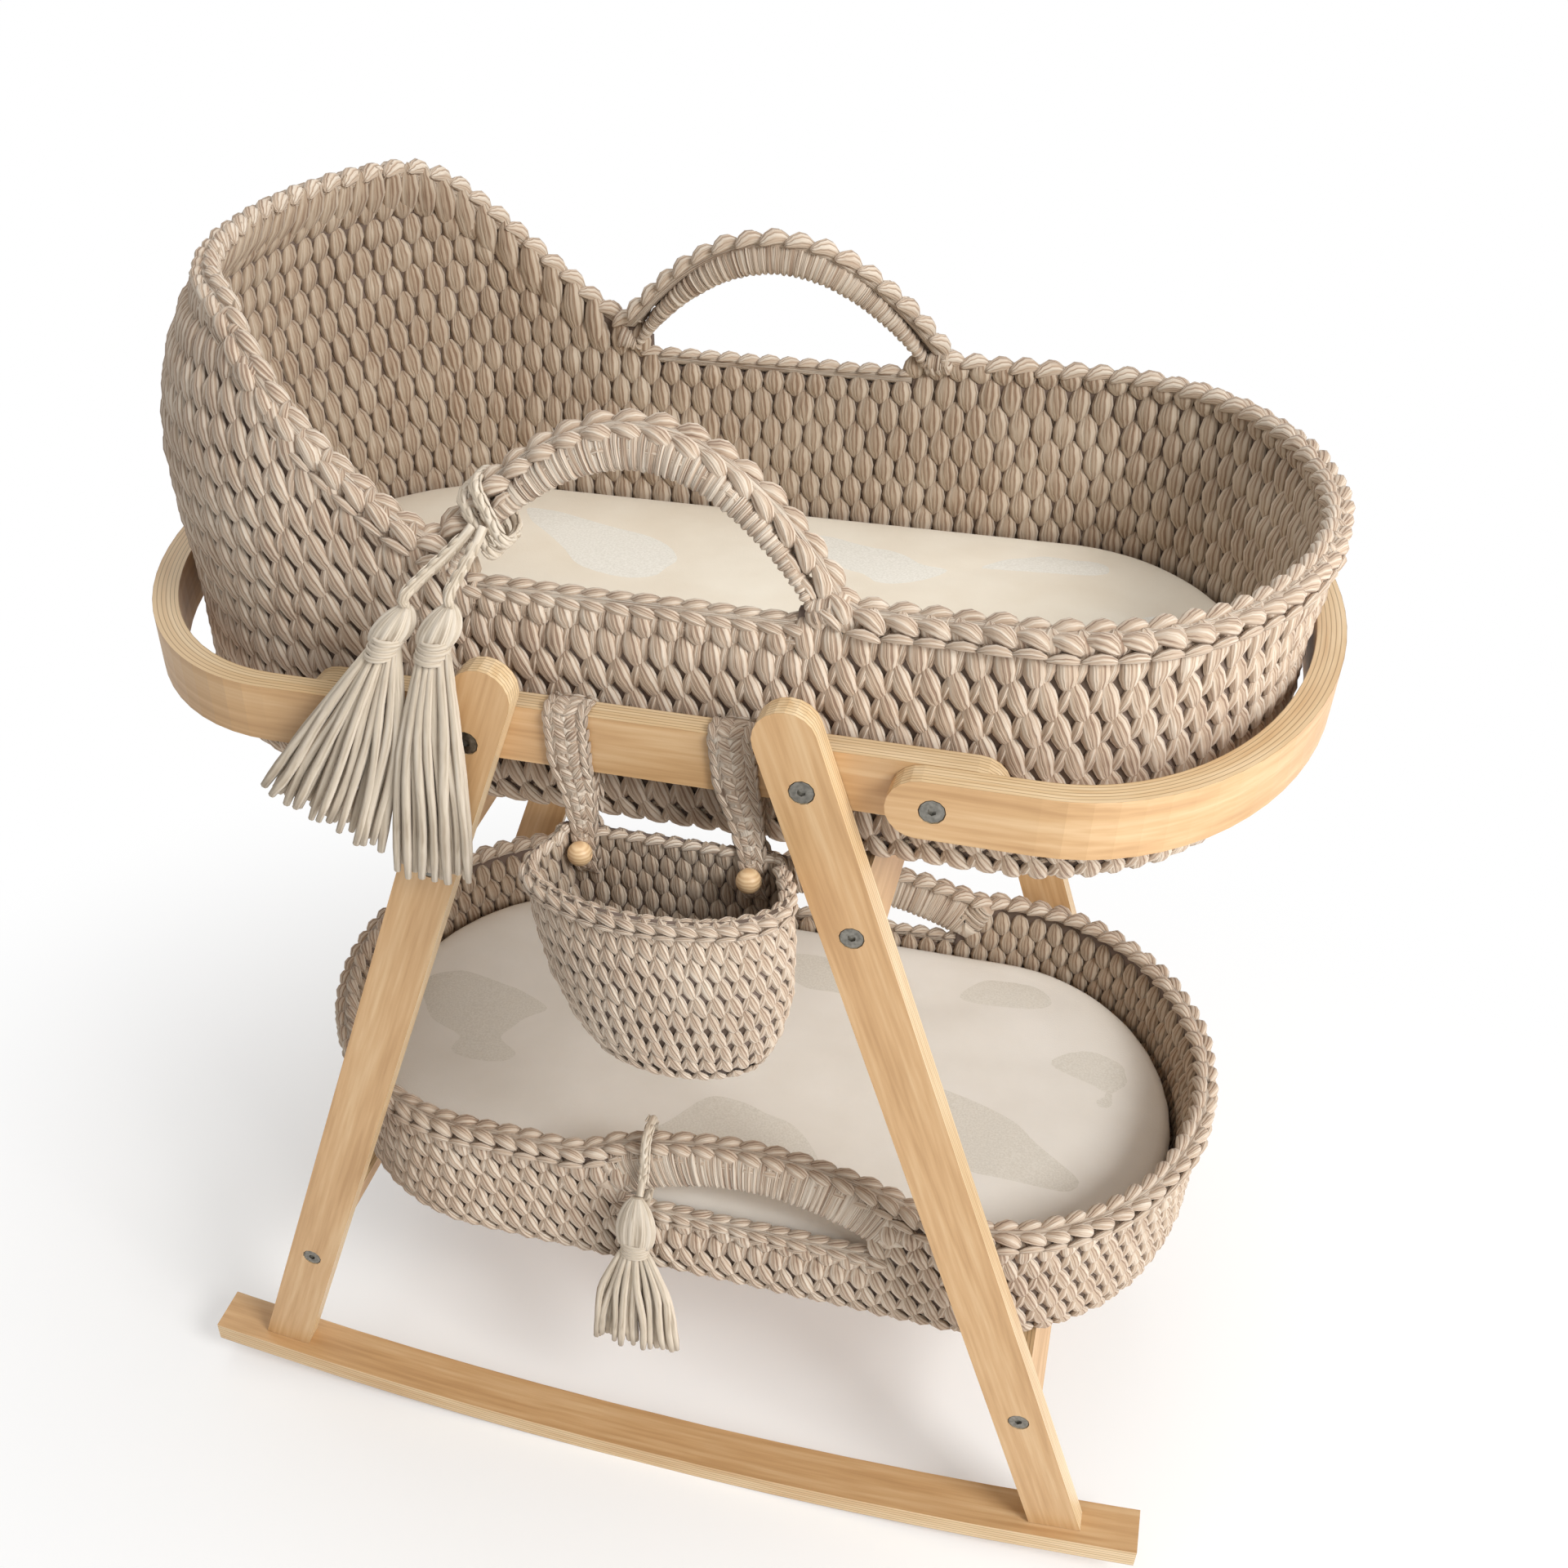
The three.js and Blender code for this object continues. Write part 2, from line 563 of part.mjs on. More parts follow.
function wall(basket) {
  const edge = HANDLE_OUTER_SPAN + GAP;
  const near = [basket.handleX - edge, basket.handleX + edge];
  const spare = GAP * 2;
  const sideXs = [near[0] - spare, near[0], basket.handleX, near[1], near[1] + spare];
  const quarter = (near[0] - spare + -basket.straight) / 2;
  sideXs.push(quarter, (near[1] + spare + basket.straight) / 2);
  const list = stations(basket.straight, sideXs);
  const rows = [];
  const kneeZ = basket.floorZ + WALL_KNEE;
  const flareAt = (z) => {
    const full = basket.rimZ - 2 * BRAID;
    return THREE.MathUtils.clamp((z - basket.flareStartZ) / (full - basket.flareStartZ), 0, 1);
  };
  const row = (inset, heightOf) => {
    rows.push(
      list.map((s) => {
        const plainX = s.x0 + basket.end * s.cos;
        const top = wallTop(basket, plainX, Math.abs(s.cos) < ROUND_OFF);
        const z = heightOf(top);
        const risen = basket.hoodRise ? Math.max(0, z - basket.rimZ) / basket.hoodRise : 0;
        const hoodLean = risen ** HOOD_LEAN_SHARE;
        const flare = flareAt(z);
        const endReach = basket.end + flare * basket.flareEnd - inset - HOOD_LEAN_END * hoodLean;
        const sideReach = basket.halfWidth + flare * basket.flareSide - inset - HOOD_LEAN_SIDE * hoodLean;
        return point(s.x0 + endReach * s.cos, sideReach * s.sin, z);
      }),
    );
  };
  const levels = [1 / 3, 2 / 3, 1].map((share) => (top) => mix(kneeZ, top - 2 * BRAID, share));
  row(WALL_FOOT_IN, () => basket.floorZ);
  row(WALL_FOOT_IN / 4, () => mix(basket.floorZ, kneeZ, 0.4));
  row(0, () => kneeZ);
  levels.forEach((level) => row(0, level));
  const braidMid = BRAID - BRAID_OUT;
  for (let step = 0; step <= 4; step++) {
    const angle = (step * Math.PI) / 4;
    row(braidMid - BRAID * Math.cos(angle), (top) => top - BRAID + BRAID * Math.sin(angle));
  }
  levels.reverse().forEach((level) => row(WALL, level));
  row(WALL, () => kneeZ);
  row(WALL_FOOT_IN + WALL_FOOT_THICKNESS, () => basket.floorZ);
  return skin(rows);
}

const boardInset = WALL_FOOT_IN + WALL_FOOT_THICKNESS + GAP;

function baseBoard(basket) {
  const list = stations(basket.straight, []);
  const outline = around(list, basket.end, basket.halfWidth, 0, boardInset);
  const shape = new THREE.Shape(outline.map((p) => new THREE.Vector2(p.x, p.y)));
  return new THREE.ExtrudeGeometry(shape, { depth: BOARD, bevelEnabled: false });
}

// Rings of a padded mattress's side and crown, from its lower edge up, drawn in by a distance all over
function mattressRings(basket, inward) {
  const list = stations(basket.straight, [-basket.straight / 3, basket.straight / 3]);
  const bottomZ = basket.floorZ + BOARD + GAP + inward;
  const topZ = basket.sheetTopZ - inward;
  const inset = WALL + MATTRESS_CLEARANCE + inward;
  const ring = (extra, z, share = 1) => around(list, basket.end, basket.halfWidth, z, inset + extra, share);
  return {
    list,
    bottomZ,
    topZ: topZ + MATTRESS_CROWN,
    inset,
    hem: ring(MATTRESS_TUCK + SHEET_HEM - inward, bottomZ),
    side: [
      ring(MATTRESS_TUCK, bottomZ),
      ring(MATTRESS_TUCK / 4, mix(bottomZ, topZ, 0.3)),
      ring(0, mix(bottomZ, topZ, 0.62)),
      ring(MATTRESS_ROUND / 6, topZ - MATTRESS_ROUND / 2),
      ring(MATTRESS_ROUND, topZ),
    ],
    crown: [
      ring(MATTRESS_ROUND, topZ + MATTRESS_CROWN * 0.6, 0.8),
      ring(MATTRESS_ROUND, topZ + MATTRESS_CROWN * 0.93, 0.4),
    ],
  };
}

function mattressCore(basket) {
  const rings = mattressRings(basket, SHEET + GAP);
  const tips = [point(0, 0, rings.bottomZ), point(0, 0, rings.topZ)];
  return skin([...rings.side, ...rings.crown], tips);
}

// The fitted sheet: over the top, down the sides and tucked under, open below
function fittedSheet(basket) {
  const outer = mattressRings(basket, 0);
  const inner = mattressRings(basket, SHEET);
  const rows = [
    ...[...inner.crown].reverse(),
    ...[...inner.side].reverse(),
    inner.hem,
    outer.hem,
    ...outer.side,
    ...outer.crown,
  ];
  return skin(rows, [point(0, 0, inner.topZ), point(0, 0, outer.topZ)]);
}

// How full a handle's bow is at a place from -1 to 1 along its span
const bowAt = (place) => Math.max(0, Math.cos((place * Math.PI) / 2)) ** HANDLE_BOW_SHARE;

// A handle leans in over its foot: the run in, for each unit of height
const handleLeanShare = (basket) => basket.handleLean / (basket.rimZ + basket.handleRise - basket.openingZ);

// A handle's outer and inner edge at a place along its span
function handleEdges(basket, place) {
  const bow = bowAt(place);
  const footZ = basket.openingZ + GAP;
  return {
    outer: new THREE.Vector2(basket.handleX + HANDLE_OUTER_SPAN * place, basket.rimZ + basket.handleRise * bow),
    inner: new THREE.Vector2(basket.handleX + handleInnerSpan * place, footZ + basket.archRise * bow),
  };
}

const tieXOf = (basket, share) => basket.handleX + share * HANDLE_OUTER_SPAN;

const handleMidY = (basket) => basket.halfWidth + basket.flareSide + BRAID_OUT - BRAID;

function handle(basket, side) {
  const places = Array.from({ length: 17 }, (_, i) => i / 8 - 1);
  const outer = places.map((place) => handleEdges(basket, place).outer);
  const inner = places.map((place) => handleEdges(basket, place).inner).reverse();
  const footZ = basket.openingZ + GAP;
  const outline = [
    new THREE.Vector2(outer[0].x, footZ),
    ...outer,
    new THREE.Vector2(outer.at(-1).x, footZ),
    ...inner,
  ];
  const arch = new THREE.ExtrudeGeometry(new THREE.Shape(outline.reverse()), {
    depth: HANDLE_THICKNESS - 2 * HANDLE_EDGE,
    bevelThickness: HANDLE_EDGE,
    bevelSize: HANDLE_EDGE,
    bevelOffset: -HANDLE_EDGE,
    bevelSegments: 1,
  });
  const upright = merged(arch.rotateX(Math.PI / 2).translate(0, HANDLE_THICKNESS / 2 - HANDLE_EDGE, 0));
  const leaning = new THREE.Matrix4();
  leaning.elements[9] = -side * handleLeanShare(basket);
  leaning.elements[13] = side * handleLeanShare(basket) * footZ;
  return upright.applyMatrix4(leaning);
}

// A handle's upright section at an X: the middle and half of its height
function handleSection(basket, x) {
  const off = x - basket.handleX;
  const topZ = basket.rimZ + basket.handleRise * bowAt(off / HANDLE_OUTER_SPAN);
  const underZ = basket.openingZ + GAP + basket.archRise * bowAt(off / handleInnerSpan);
  return { midZ: (topZ + underZ) / 2, half: (topZ - underZ) / 2 };
}

// A cord's turn round a handle, from one angle to another: 0 is in front, a quarter turn is above.
// The shape is fuller than an ellipse, because it goes round a bar with four sides
function cordTurn(basket, x, fromTurn, toTurn) {
  const { midZ, half } = handleSection(basket, x);
  const beside = HANDLE_THICKNESS / 2 + CORD_RADIUS + 4 * GAP;
  const above = half + CORD_RADIUS + CORD_CLEARANCE;
  const count = 15;
  const full = (v) => Math.sign(v) * Math.abs(v) ** CORD_TURN_SHARE;
  const places = Array.from({ length: count }, (_, i) => mix(fromTurn, toTurn, i / (count - 1)));
  return places.map((turn) => {
    const z = midZ + above * full(Math.sin(turn));
    const leanIn = handleLeanShare(basket) * (z - basket.openingZ);
    return point(x, leanIn - handleMidY(basket) - beside * full(Math.cos(turn)), z);
  });
}

function cord(points, steps) {
  const section = new THREE.Shape().absarc(0, 0, CORD_RADIUS, 0, 2 * Math.PI);
  const path = new THREE.CatmullRomCurve3(points);
  const settings = { steps, bevelEnabled: false, extrudePath: path, curveSegments: 4 };
  return new THREE.ExtrudeGeometry(section, settings);
}

// A tassel that hangs from a cord's turn at an X: skirt from its hem up, wrapped neck and head
function tassel(form, tieX, headY, skirtY, depth) {
  const ring = (x, y, z, halfX, halfY, slope = 0) =>
    Array.from({ length: 12 }, (_, i) => {
      const angle = (i * Math.PI) / 6;
      const dx = halfX * Math.cos(angle);
      return point(tieX + x + dx, y + halfY * Math.sin(angle), z + slope * dx);
    });
  const [topX, topZ] = form.top;
  const [wrapX, wrapZ] = form.wrap;
  const [midX, midZ] = form.mid;
  const [footX, footZ] = form.foot;
  const slope = form.hemSlopeShare;
  const rows = [
    ring(footX, skirtY, footZ, form.spread, depth, slope),
    ring(mix(footX, midX, 0.45), skirtY, mix(footZ, midZ, 0.45), form.spread * 0.86, depth, slope / 3),
    ring(midX, skirtY, midZ, form.spread * 0.6, depth),
    ring(mix(midX, wrapX, 0.75), skirtY, wrapZ - 1.5 * form.neck, form.neck * 1.2, depth),
    ring(wrapX, mix(skirtY, headY, 0.6), wrapZ - form.neck / 2, form.neck, depth),
    ring(wrapX, mix(skirtY, headY, 0.8), wrapZ + form.neck / 2, form.neck * 0.95, depth),
  ];
  const neckZ = wrapZ + form.neck / 2;
  TASSEL_HEAD_SHARES.toReversed().forEach((share, i) => {
    const rise = (i + 1) / TASSEL_HEAD_SHARES.length;
    const z = mix(neckZ, topZ, rise);
    rows.push(ring(mix(wrapX, topX, rise), headY, z, form.head * share, depth * share));
  });
  return skin(rows, [point(tieX + footX, skirtY, footZ), point(tieX + topX, headY, topZ)]);
}

function upperBasket() {
  const group = new THREE.Group();
  group.add(mesh("upper_basket_wall", wall(upper), crochet));
  group.add(mesh("upper_base_board", baseBoard(upper), birch, 0, 0, upper.floorZ));
  group.add(mesh("upper_handle_front", handle(upper, -1), crochet, 0, -handleMidY(upper), 0));
  group.add(mesh("upper_handle_rear", handle(upper, 1), crochet, 0, handleMidY(upper), 0));
  group.add(mesh("upper_mattress_core", mattressCore(upper), foam));
  group.add(mesh("upper_fitted_sheet", fittedSheet(upper), cotton));
  const tieX = tieXOf(upper, UPPER_TIE_SHARE);
  const turn = cordTurn(upper, tieX, 0, 2 * Math.PI).slice(1);
  const tie = new THREE.TubeGeometry(new THREE.CatmullRomCurve3(turn, true), 24, CORD_RADIUS, 6, true);
  group.add(mesh("upper_tassel_tie", merged(tie), tasselYarn));
  const { midZ } = handleSection(upper, tieX);
  const startY = turn.at(-1).y - 2 * CORD_RADIUS + GAP;
  const headY = -(legFaceY - TASSEL_HEAD_OUT);
  const skirtY = -(legFaceY + TASSEL_HANG_OUT);
  for (const [name, form, side] of [["a", TASSEL_A, -1], ["b", TASSEL_B, 1]]) {
    const x = tieX + form.top[0];
    const z = form.top[1];
    const startX = tieX + side * (CORD_RADIUS + GAP);
    const path = [
      point(startX, startY, midZ),
      point(mix(startX, x, 0.3), mix(startY, headY, 0.3), mix(midZ, z, 0.3)),
      point(x, headY, z + CORD_DROP),
      point(x, headY, z + GAP),
    ];
    group.add(mesh(`upper_tassel_cord_${name}`, cord(path, 8), tasselYarn));
    group.add(mesh(`upper_tassel_${name}`, tassel(form, tieX, headY, skirtY, TASSEL_DEPTH), tasselYarn));
  }
  return group;
}

function lowerBasket() {
  const group = new THREE.Group();
  group.position.x = LOWER_SHIFT_X;
  group.add(mesh("lower_basket_wall", wall(lower), crochet));
  group.add(mesh("lower_base_board", baseBoard(lower), birch, 0, 0, lower.floorZ));
  group.add(mesh("lower_handle_front", handle(lower, -1), crochet, 0, -handleMidY(lower), 0));
  group.add(mesh("lower_handle_rear", handle(lower, 1), crochet, 0, handleMidY(lower), 0));
  group.add(mesh("lower_mattress_core", mattressCore(lower), foam));
  group.add(mesh("lower_fitted_sheet", fittedSheet(lower), cotton));
  const hangY = -(lower.halfWidth + lower.flareSide + legInnerY) / 2;
  const tieX = tieXOf(lower, LOWER_TIE_SHARE);
  // The cord's loop starts over the tassel's top, and ends behind it under the handle
  const start = point(tieX, hangY, LOWER_TASSEL.top[1] + CORD_RADIUS / 2 + 2 * GAP);
  const loop = cord([start, ...cordTurn(lower, tieX, 0, LOWER_LOOP_SHARE * 2 * Math.PI)], 34);
  group.add(mesh("lower_tassel_cord", loop, tasselYarn));
  const hung = tassel(LOWER_TASSEL, tieX, hangY, hangY, LOWER_TASSEL_DEPTH);
  group.add(mesh("lower_tassel", hung, tasselYarn));
  return group;
}

// Pocket basket: its plan has a flat back, and goes round as shares of half its length and width
const frontTurns = Array.from({ length: 15 }, (_, i) => Math.PI * (1 + i / 14));
const pocketPlanShares = [
  [0.96, 0.35],
  [0.885, 0.6],
  [0.885, 0.96],
  [0.87, 1],
  [0.3, 1],
  [-0.3, 1],
  [-0.87, 1],
  [-0.885, 0.96],
  [-0.885, 0.6],
  [-0.96, 0.35],
  ...frontTurns.map((turn) => [Math.cos(turn), Math.sin(turn)]),
];

// Rings from its rim down, as shares of its rim's size and depth
const POCKET_DROP_SHARES = [0, 0.28, 0.55, 0.78, 0.92, 0.985];
const POCKET_LENGTH_SHARES = [1, 1, 0.94, 0.82, 0.67, 0.46];
const POCKET_WIDTH_SHARES = [1, 1, 0.97, 0.87, 0.72, 0.5];

function pocketBasket() {
  const back = pocketY + POCKET_HALF_WIDTH;
  const ring = (i, inset, rise) => {
    const drop = POCKET_DROP_SHARES[i];
    const halfLength = POCKET_HALF_LENGTH * POCKET_LENGTH_SHARES[i] - inset;
    const halfWidth = POCKET_HALF_WIDTH * POCKET_WIDTH_SHARES[i] - inset;
    const midY = Math.min(pocketY, back - halfWidth - inset);
    const midX = POCKET_X + POCKET_SWAY * drop;
    const z = POCKET_RIM_Z - POCKET_DEPTH * drop + rise;
    return pocketPlanShares.map(([u, v]) => point(midX + halfLength * u, midY + halfWidth * v, z));
  };
  const order = POCKET_DROP_SHARES.map((_, i) => i);
  const outer = order.toReversed().map((i) => ring(i, 0, 0));
  const inner = order.map((i) => ring(i, POCKET_WALL, i > 2 ? POCKET_WALL : 0));
  const bottomX = POCKET_X + POCKET_SWAY;
  const tips = [
    point(bottomX, pocketY, pocketFloorZ),
    point(bottomX, pocketY, pocketFloorZ + POCKET_WALL),
  ];
  return skin([...outer, ...inner], tips);
}

// A band of even thickness along a path in Y and Z
function band(path) {
  const sideOf = (sign) =>
    path.map((p, i) => {
      const before = path[Math.max(i - 1, 0)];
      const after = path[Math.min(i + 1, path.length - 1)];
      const into = p.clone().sub(before).normalize();
      const out = after.clone().sub(p).normalize();
      const along = into.clone().add(out).normalize();
      const reach = strapHalf / Math.max(along.dot(i ? into : out), 0.5);
      return new THREE.Vector2(p.x - sign * along.y * reach, p.y + sign * along.x * reach);
    });
  return [...sideOf(1), ...sideOf(-1).reverse()];
}

// A strap: up in front of the rail from inside the pocket, over it, and down behind it to the pocket's back
function strap(leanShare) {
  const frontY = -(railFaceY + GAP + strapHalf);
  const behindY = -(railBackY - GAP - strapHalf);
  const insideY = -(pocketBackY + POCKET_WALL + GAP + strapHalf);
  const outsideY = -(pocketBackY - GAP - strapHalf);
  const overZ = railTopZ + GAP + strapHalf;
  const endZ = POCKET_RIM_Z - STRAP_END_UNDER_RIM;
  const clearZ = POCKET_RIM_Z + strapHalf;
  const place = (y, z) => new THREE.Vector2(y, z);
  const path = [
    place(insideY, endZ),
    place(insideY, clearZ),
    place(frontY, clearZ + STRAP_BEND_RUN),
    place(frontY, overZ - STRAP_CORNER),
    place(frontY + STRAP_CORNER, overZ),
    place(behindY - STRAP_CORNER, overZ),
    place(behindY, overZ - STRAP_CORNER),
    place(behindY, railUnderZ - strapHalf),
    place(outsideY, clearZ + GAP),
    place(outsideY, endZ),
  ];
  const shape = new THREE.Shape(band(path));
  const flat = new THREE.ExtrudeGeometry(shape, { depth: STRAP_WIDTH, bevelEnabled: false });
  flat.translate(0, 0, -STRAP_WIDTH / 2);
  const toXYZ = new THREE.Matrix4().makeBasis(point(0, 1, 0), point(0, 0, 1), point(1, 0, 0));
  const edgeX = -STRAP_WIDTH / 2;
  const narrowX = edgeX + STRAP_WIDTH - STRAP_END_WIDTH;
  const taper = new THREE.Shape([
    place(edgeX - OVERRUN, endZ - OVERRUN),
    place(narrowX, endZ - OVERRUN),
    place(narrowX, clearZ),
    place(edgeX, clearZ + STRAP_TAPER_RUN),
    place(edgeX - OVERRUN, clearZ + STRAP_TAPER_RUN),
  ]);
  const wedge = new THREE.ExtrudeGeometry(taper, { depth: 2 * legFaceY, bevelEnabled: false });
  wedge.rotateX(Math.PI / 2);
  const leaning = new THREE.Matrix4();
  leaning.elements[8] = -leanShare;
  leaning.elements[12] = leanShare * overZ;
  return cut(flat.applyMatrix4(toXYZ), [wedge]).applyMatrix4(leaning);
}

function pocket() {
  const group = new THREE.Group();
  group.add(mesh("pocket_basket", pocketBasket(), crochet));
  const beadZ = POCKET_RIM_Z - BEAD_UNDER_RIM;
  const beadY = -(pocketBackY + POCKET_WALL + STRAP_THICKNESS + 2 * GAP + BEAD_RADIUS);
  const strapDrop = railTopZ + GAP + strapHalf - beadZ;
  for (const [name, { x, leanShare }] of Object.entries(STRAPS)) {
    group.add(mesh(`pocket_strap_${name}`, strap(leanShare), crochet, x, 0, 0));
    const beadX = x + leanShare * strapDrop + (STRAP_WIDTH - STRAP_END_WIDTH) / 2;
    const bead = new THREE.SphereGeometry(BEAD_RADIUS, 12, 8);
    group.add(mesh(`pocket_bead_${name}`, bead, beadWood, beadX, beadY, beadZ));
  }
  return group;
}

// The whole cradle, moved so that the origin is under the middle of its outer box

const frontY = pocketY - POCKET_HALF_WIDTH;
const rearY = legMidY + halfStrip;
const cradle = new THREE.Group();
cradle.position.y = -(frontY + rearY) / 2;
cradle.add(stand(), upperBasket(), lowerBasket(), pocket());

export default cradle;
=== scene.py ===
# %% [markdown]
# # A hanging baby cradle
# The cradle is a birch plywood stand with crochet baskets on it. The frame brings in the rigid model
# with its moving bodies. This lesson keeps the stand's shapes, gives them real finishes, and makes
# every soft piece anew: crochet walls stitch by stitch, braids, handles, mattresses and tassels.
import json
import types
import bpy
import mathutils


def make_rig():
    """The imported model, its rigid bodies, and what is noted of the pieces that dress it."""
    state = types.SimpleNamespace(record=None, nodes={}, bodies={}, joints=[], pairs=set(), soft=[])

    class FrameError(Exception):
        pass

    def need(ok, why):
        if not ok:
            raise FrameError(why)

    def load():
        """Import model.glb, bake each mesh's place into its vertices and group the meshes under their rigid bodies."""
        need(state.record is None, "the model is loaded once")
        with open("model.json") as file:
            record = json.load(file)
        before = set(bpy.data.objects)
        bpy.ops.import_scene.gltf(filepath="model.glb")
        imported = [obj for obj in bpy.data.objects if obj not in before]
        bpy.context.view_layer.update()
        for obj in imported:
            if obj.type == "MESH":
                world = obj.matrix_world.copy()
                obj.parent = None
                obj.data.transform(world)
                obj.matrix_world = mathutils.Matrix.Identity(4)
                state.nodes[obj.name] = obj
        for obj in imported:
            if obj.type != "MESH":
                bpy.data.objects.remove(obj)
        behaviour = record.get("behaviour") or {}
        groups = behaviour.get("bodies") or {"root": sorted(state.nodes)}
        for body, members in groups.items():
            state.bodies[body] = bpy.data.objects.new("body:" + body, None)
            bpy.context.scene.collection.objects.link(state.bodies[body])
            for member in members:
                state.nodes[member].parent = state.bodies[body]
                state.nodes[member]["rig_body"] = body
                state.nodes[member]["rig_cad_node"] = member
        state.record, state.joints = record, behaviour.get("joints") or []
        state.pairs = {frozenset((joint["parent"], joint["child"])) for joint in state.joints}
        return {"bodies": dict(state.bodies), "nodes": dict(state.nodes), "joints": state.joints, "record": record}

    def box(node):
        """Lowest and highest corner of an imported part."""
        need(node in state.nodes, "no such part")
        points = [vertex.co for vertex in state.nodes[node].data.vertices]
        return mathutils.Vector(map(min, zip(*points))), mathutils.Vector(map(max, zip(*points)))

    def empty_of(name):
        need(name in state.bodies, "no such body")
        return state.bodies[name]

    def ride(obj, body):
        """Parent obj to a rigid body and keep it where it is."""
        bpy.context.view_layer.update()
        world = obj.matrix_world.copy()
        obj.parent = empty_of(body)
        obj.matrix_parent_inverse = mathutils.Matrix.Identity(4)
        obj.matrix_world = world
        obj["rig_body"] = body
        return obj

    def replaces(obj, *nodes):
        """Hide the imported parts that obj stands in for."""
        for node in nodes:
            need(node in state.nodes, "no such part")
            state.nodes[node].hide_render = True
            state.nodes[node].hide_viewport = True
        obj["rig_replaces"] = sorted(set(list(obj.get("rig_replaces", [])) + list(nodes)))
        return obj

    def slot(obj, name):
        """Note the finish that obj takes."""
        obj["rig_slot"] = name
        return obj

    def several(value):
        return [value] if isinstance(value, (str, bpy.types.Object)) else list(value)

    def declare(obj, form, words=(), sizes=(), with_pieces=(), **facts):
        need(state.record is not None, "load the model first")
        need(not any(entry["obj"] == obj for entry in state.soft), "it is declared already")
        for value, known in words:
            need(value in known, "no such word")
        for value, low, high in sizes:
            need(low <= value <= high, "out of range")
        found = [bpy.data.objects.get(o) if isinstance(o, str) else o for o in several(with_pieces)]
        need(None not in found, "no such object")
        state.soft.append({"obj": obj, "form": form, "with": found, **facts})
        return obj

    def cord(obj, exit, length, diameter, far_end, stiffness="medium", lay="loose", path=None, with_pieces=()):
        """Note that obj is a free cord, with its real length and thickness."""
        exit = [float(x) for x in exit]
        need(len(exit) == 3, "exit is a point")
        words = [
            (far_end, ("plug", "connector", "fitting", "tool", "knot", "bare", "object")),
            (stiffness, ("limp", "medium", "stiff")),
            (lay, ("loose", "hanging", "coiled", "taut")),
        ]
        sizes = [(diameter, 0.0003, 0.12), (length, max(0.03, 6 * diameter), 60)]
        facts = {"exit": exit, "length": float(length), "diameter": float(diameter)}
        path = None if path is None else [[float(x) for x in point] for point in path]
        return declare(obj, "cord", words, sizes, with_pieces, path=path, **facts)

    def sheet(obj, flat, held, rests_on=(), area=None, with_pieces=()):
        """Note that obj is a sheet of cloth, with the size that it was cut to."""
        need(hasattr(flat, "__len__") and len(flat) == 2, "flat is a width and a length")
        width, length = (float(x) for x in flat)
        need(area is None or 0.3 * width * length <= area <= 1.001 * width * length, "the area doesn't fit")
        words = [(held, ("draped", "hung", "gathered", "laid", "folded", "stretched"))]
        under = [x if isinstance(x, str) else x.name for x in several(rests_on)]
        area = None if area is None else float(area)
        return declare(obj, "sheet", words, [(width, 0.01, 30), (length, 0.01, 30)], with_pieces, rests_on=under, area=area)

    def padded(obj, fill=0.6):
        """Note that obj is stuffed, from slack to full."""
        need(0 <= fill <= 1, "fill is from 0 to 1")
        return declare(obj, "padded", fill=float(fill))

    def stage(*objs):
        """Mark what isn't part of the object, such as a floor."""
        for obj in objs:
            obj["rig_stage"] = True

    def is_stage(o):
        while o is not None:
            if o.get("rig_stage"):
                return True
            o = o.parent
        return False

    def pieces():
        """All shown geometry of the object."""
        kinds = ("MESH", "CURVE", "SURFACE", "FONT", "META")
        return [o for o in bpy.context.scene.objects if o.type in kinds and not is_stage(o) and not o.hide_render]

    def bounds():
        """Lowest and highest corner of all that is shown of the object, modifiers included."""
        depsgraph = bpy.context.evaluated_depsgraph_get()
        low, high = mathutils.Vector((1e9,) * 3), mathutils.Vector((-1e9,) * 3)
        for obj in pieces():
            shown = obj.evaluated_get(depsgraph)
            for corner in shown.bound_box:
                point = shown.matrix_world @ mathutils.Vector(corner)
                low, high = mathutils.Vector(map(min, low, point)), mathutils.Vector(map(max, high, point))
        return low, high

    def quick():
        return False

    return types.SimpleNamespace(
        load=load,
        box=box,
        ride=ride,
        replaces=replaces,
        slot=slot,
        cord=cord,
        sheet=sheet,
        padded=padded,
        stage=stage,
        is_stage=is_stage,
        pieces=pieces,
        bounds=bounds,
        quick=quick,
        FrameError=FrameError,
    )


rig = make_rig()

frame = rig.load()

import bisect
import json
import math
import random
from types import SimpleNamespace

import bmesh
import bpy
from mathutils import Matrix, Vector

cad_low, cad_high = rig.bounds()
board_low, board_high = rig.box("upper_base_board")
MIDDLE_Y = (board_low.y + board_high.y) / 2
print("nodes:", len(frame["nodes"]), "middle of the stand at y", round(MIDDLE_Y, 5))

# %% [markdown]
# ## The camera
# The picture was taken from in front of the cradle, above it and a little to the right. The place and
# the lens were first solved from the stand's straight strips, whose real directions are known. Then they
# were fitted again with a small shift, so that other sides of the cradle stay well inside the frame too.

# %% Camera
RIGHT = Vector((0.95534286, 0.29434042, -0.02614856))
UP = Vector((-0.16660305, 0.60959474, 0.77500819))
camera = bpy.data.objects.new("camera", bpy.data.cameras.new("camera"))
camera.data.lens = 38.49
camera.data.sensor_width = 36
camera.data.shift_x = 0.1
camera.data.shift_y = 0.1
turn = Matrix((RIGHT, UP, RIGHT.cross(UP))).transposed().to_4x4()
camera.matrix_world = Matrix.Translation((0.25987, -1.01217, 1.25252)) @ turn
bpy.context.scene.collection.objects.link(camera)
bpy.context.scene.camera = camera
print("camera at", [round(v, 3) for v in camera.matrix_world.translation])

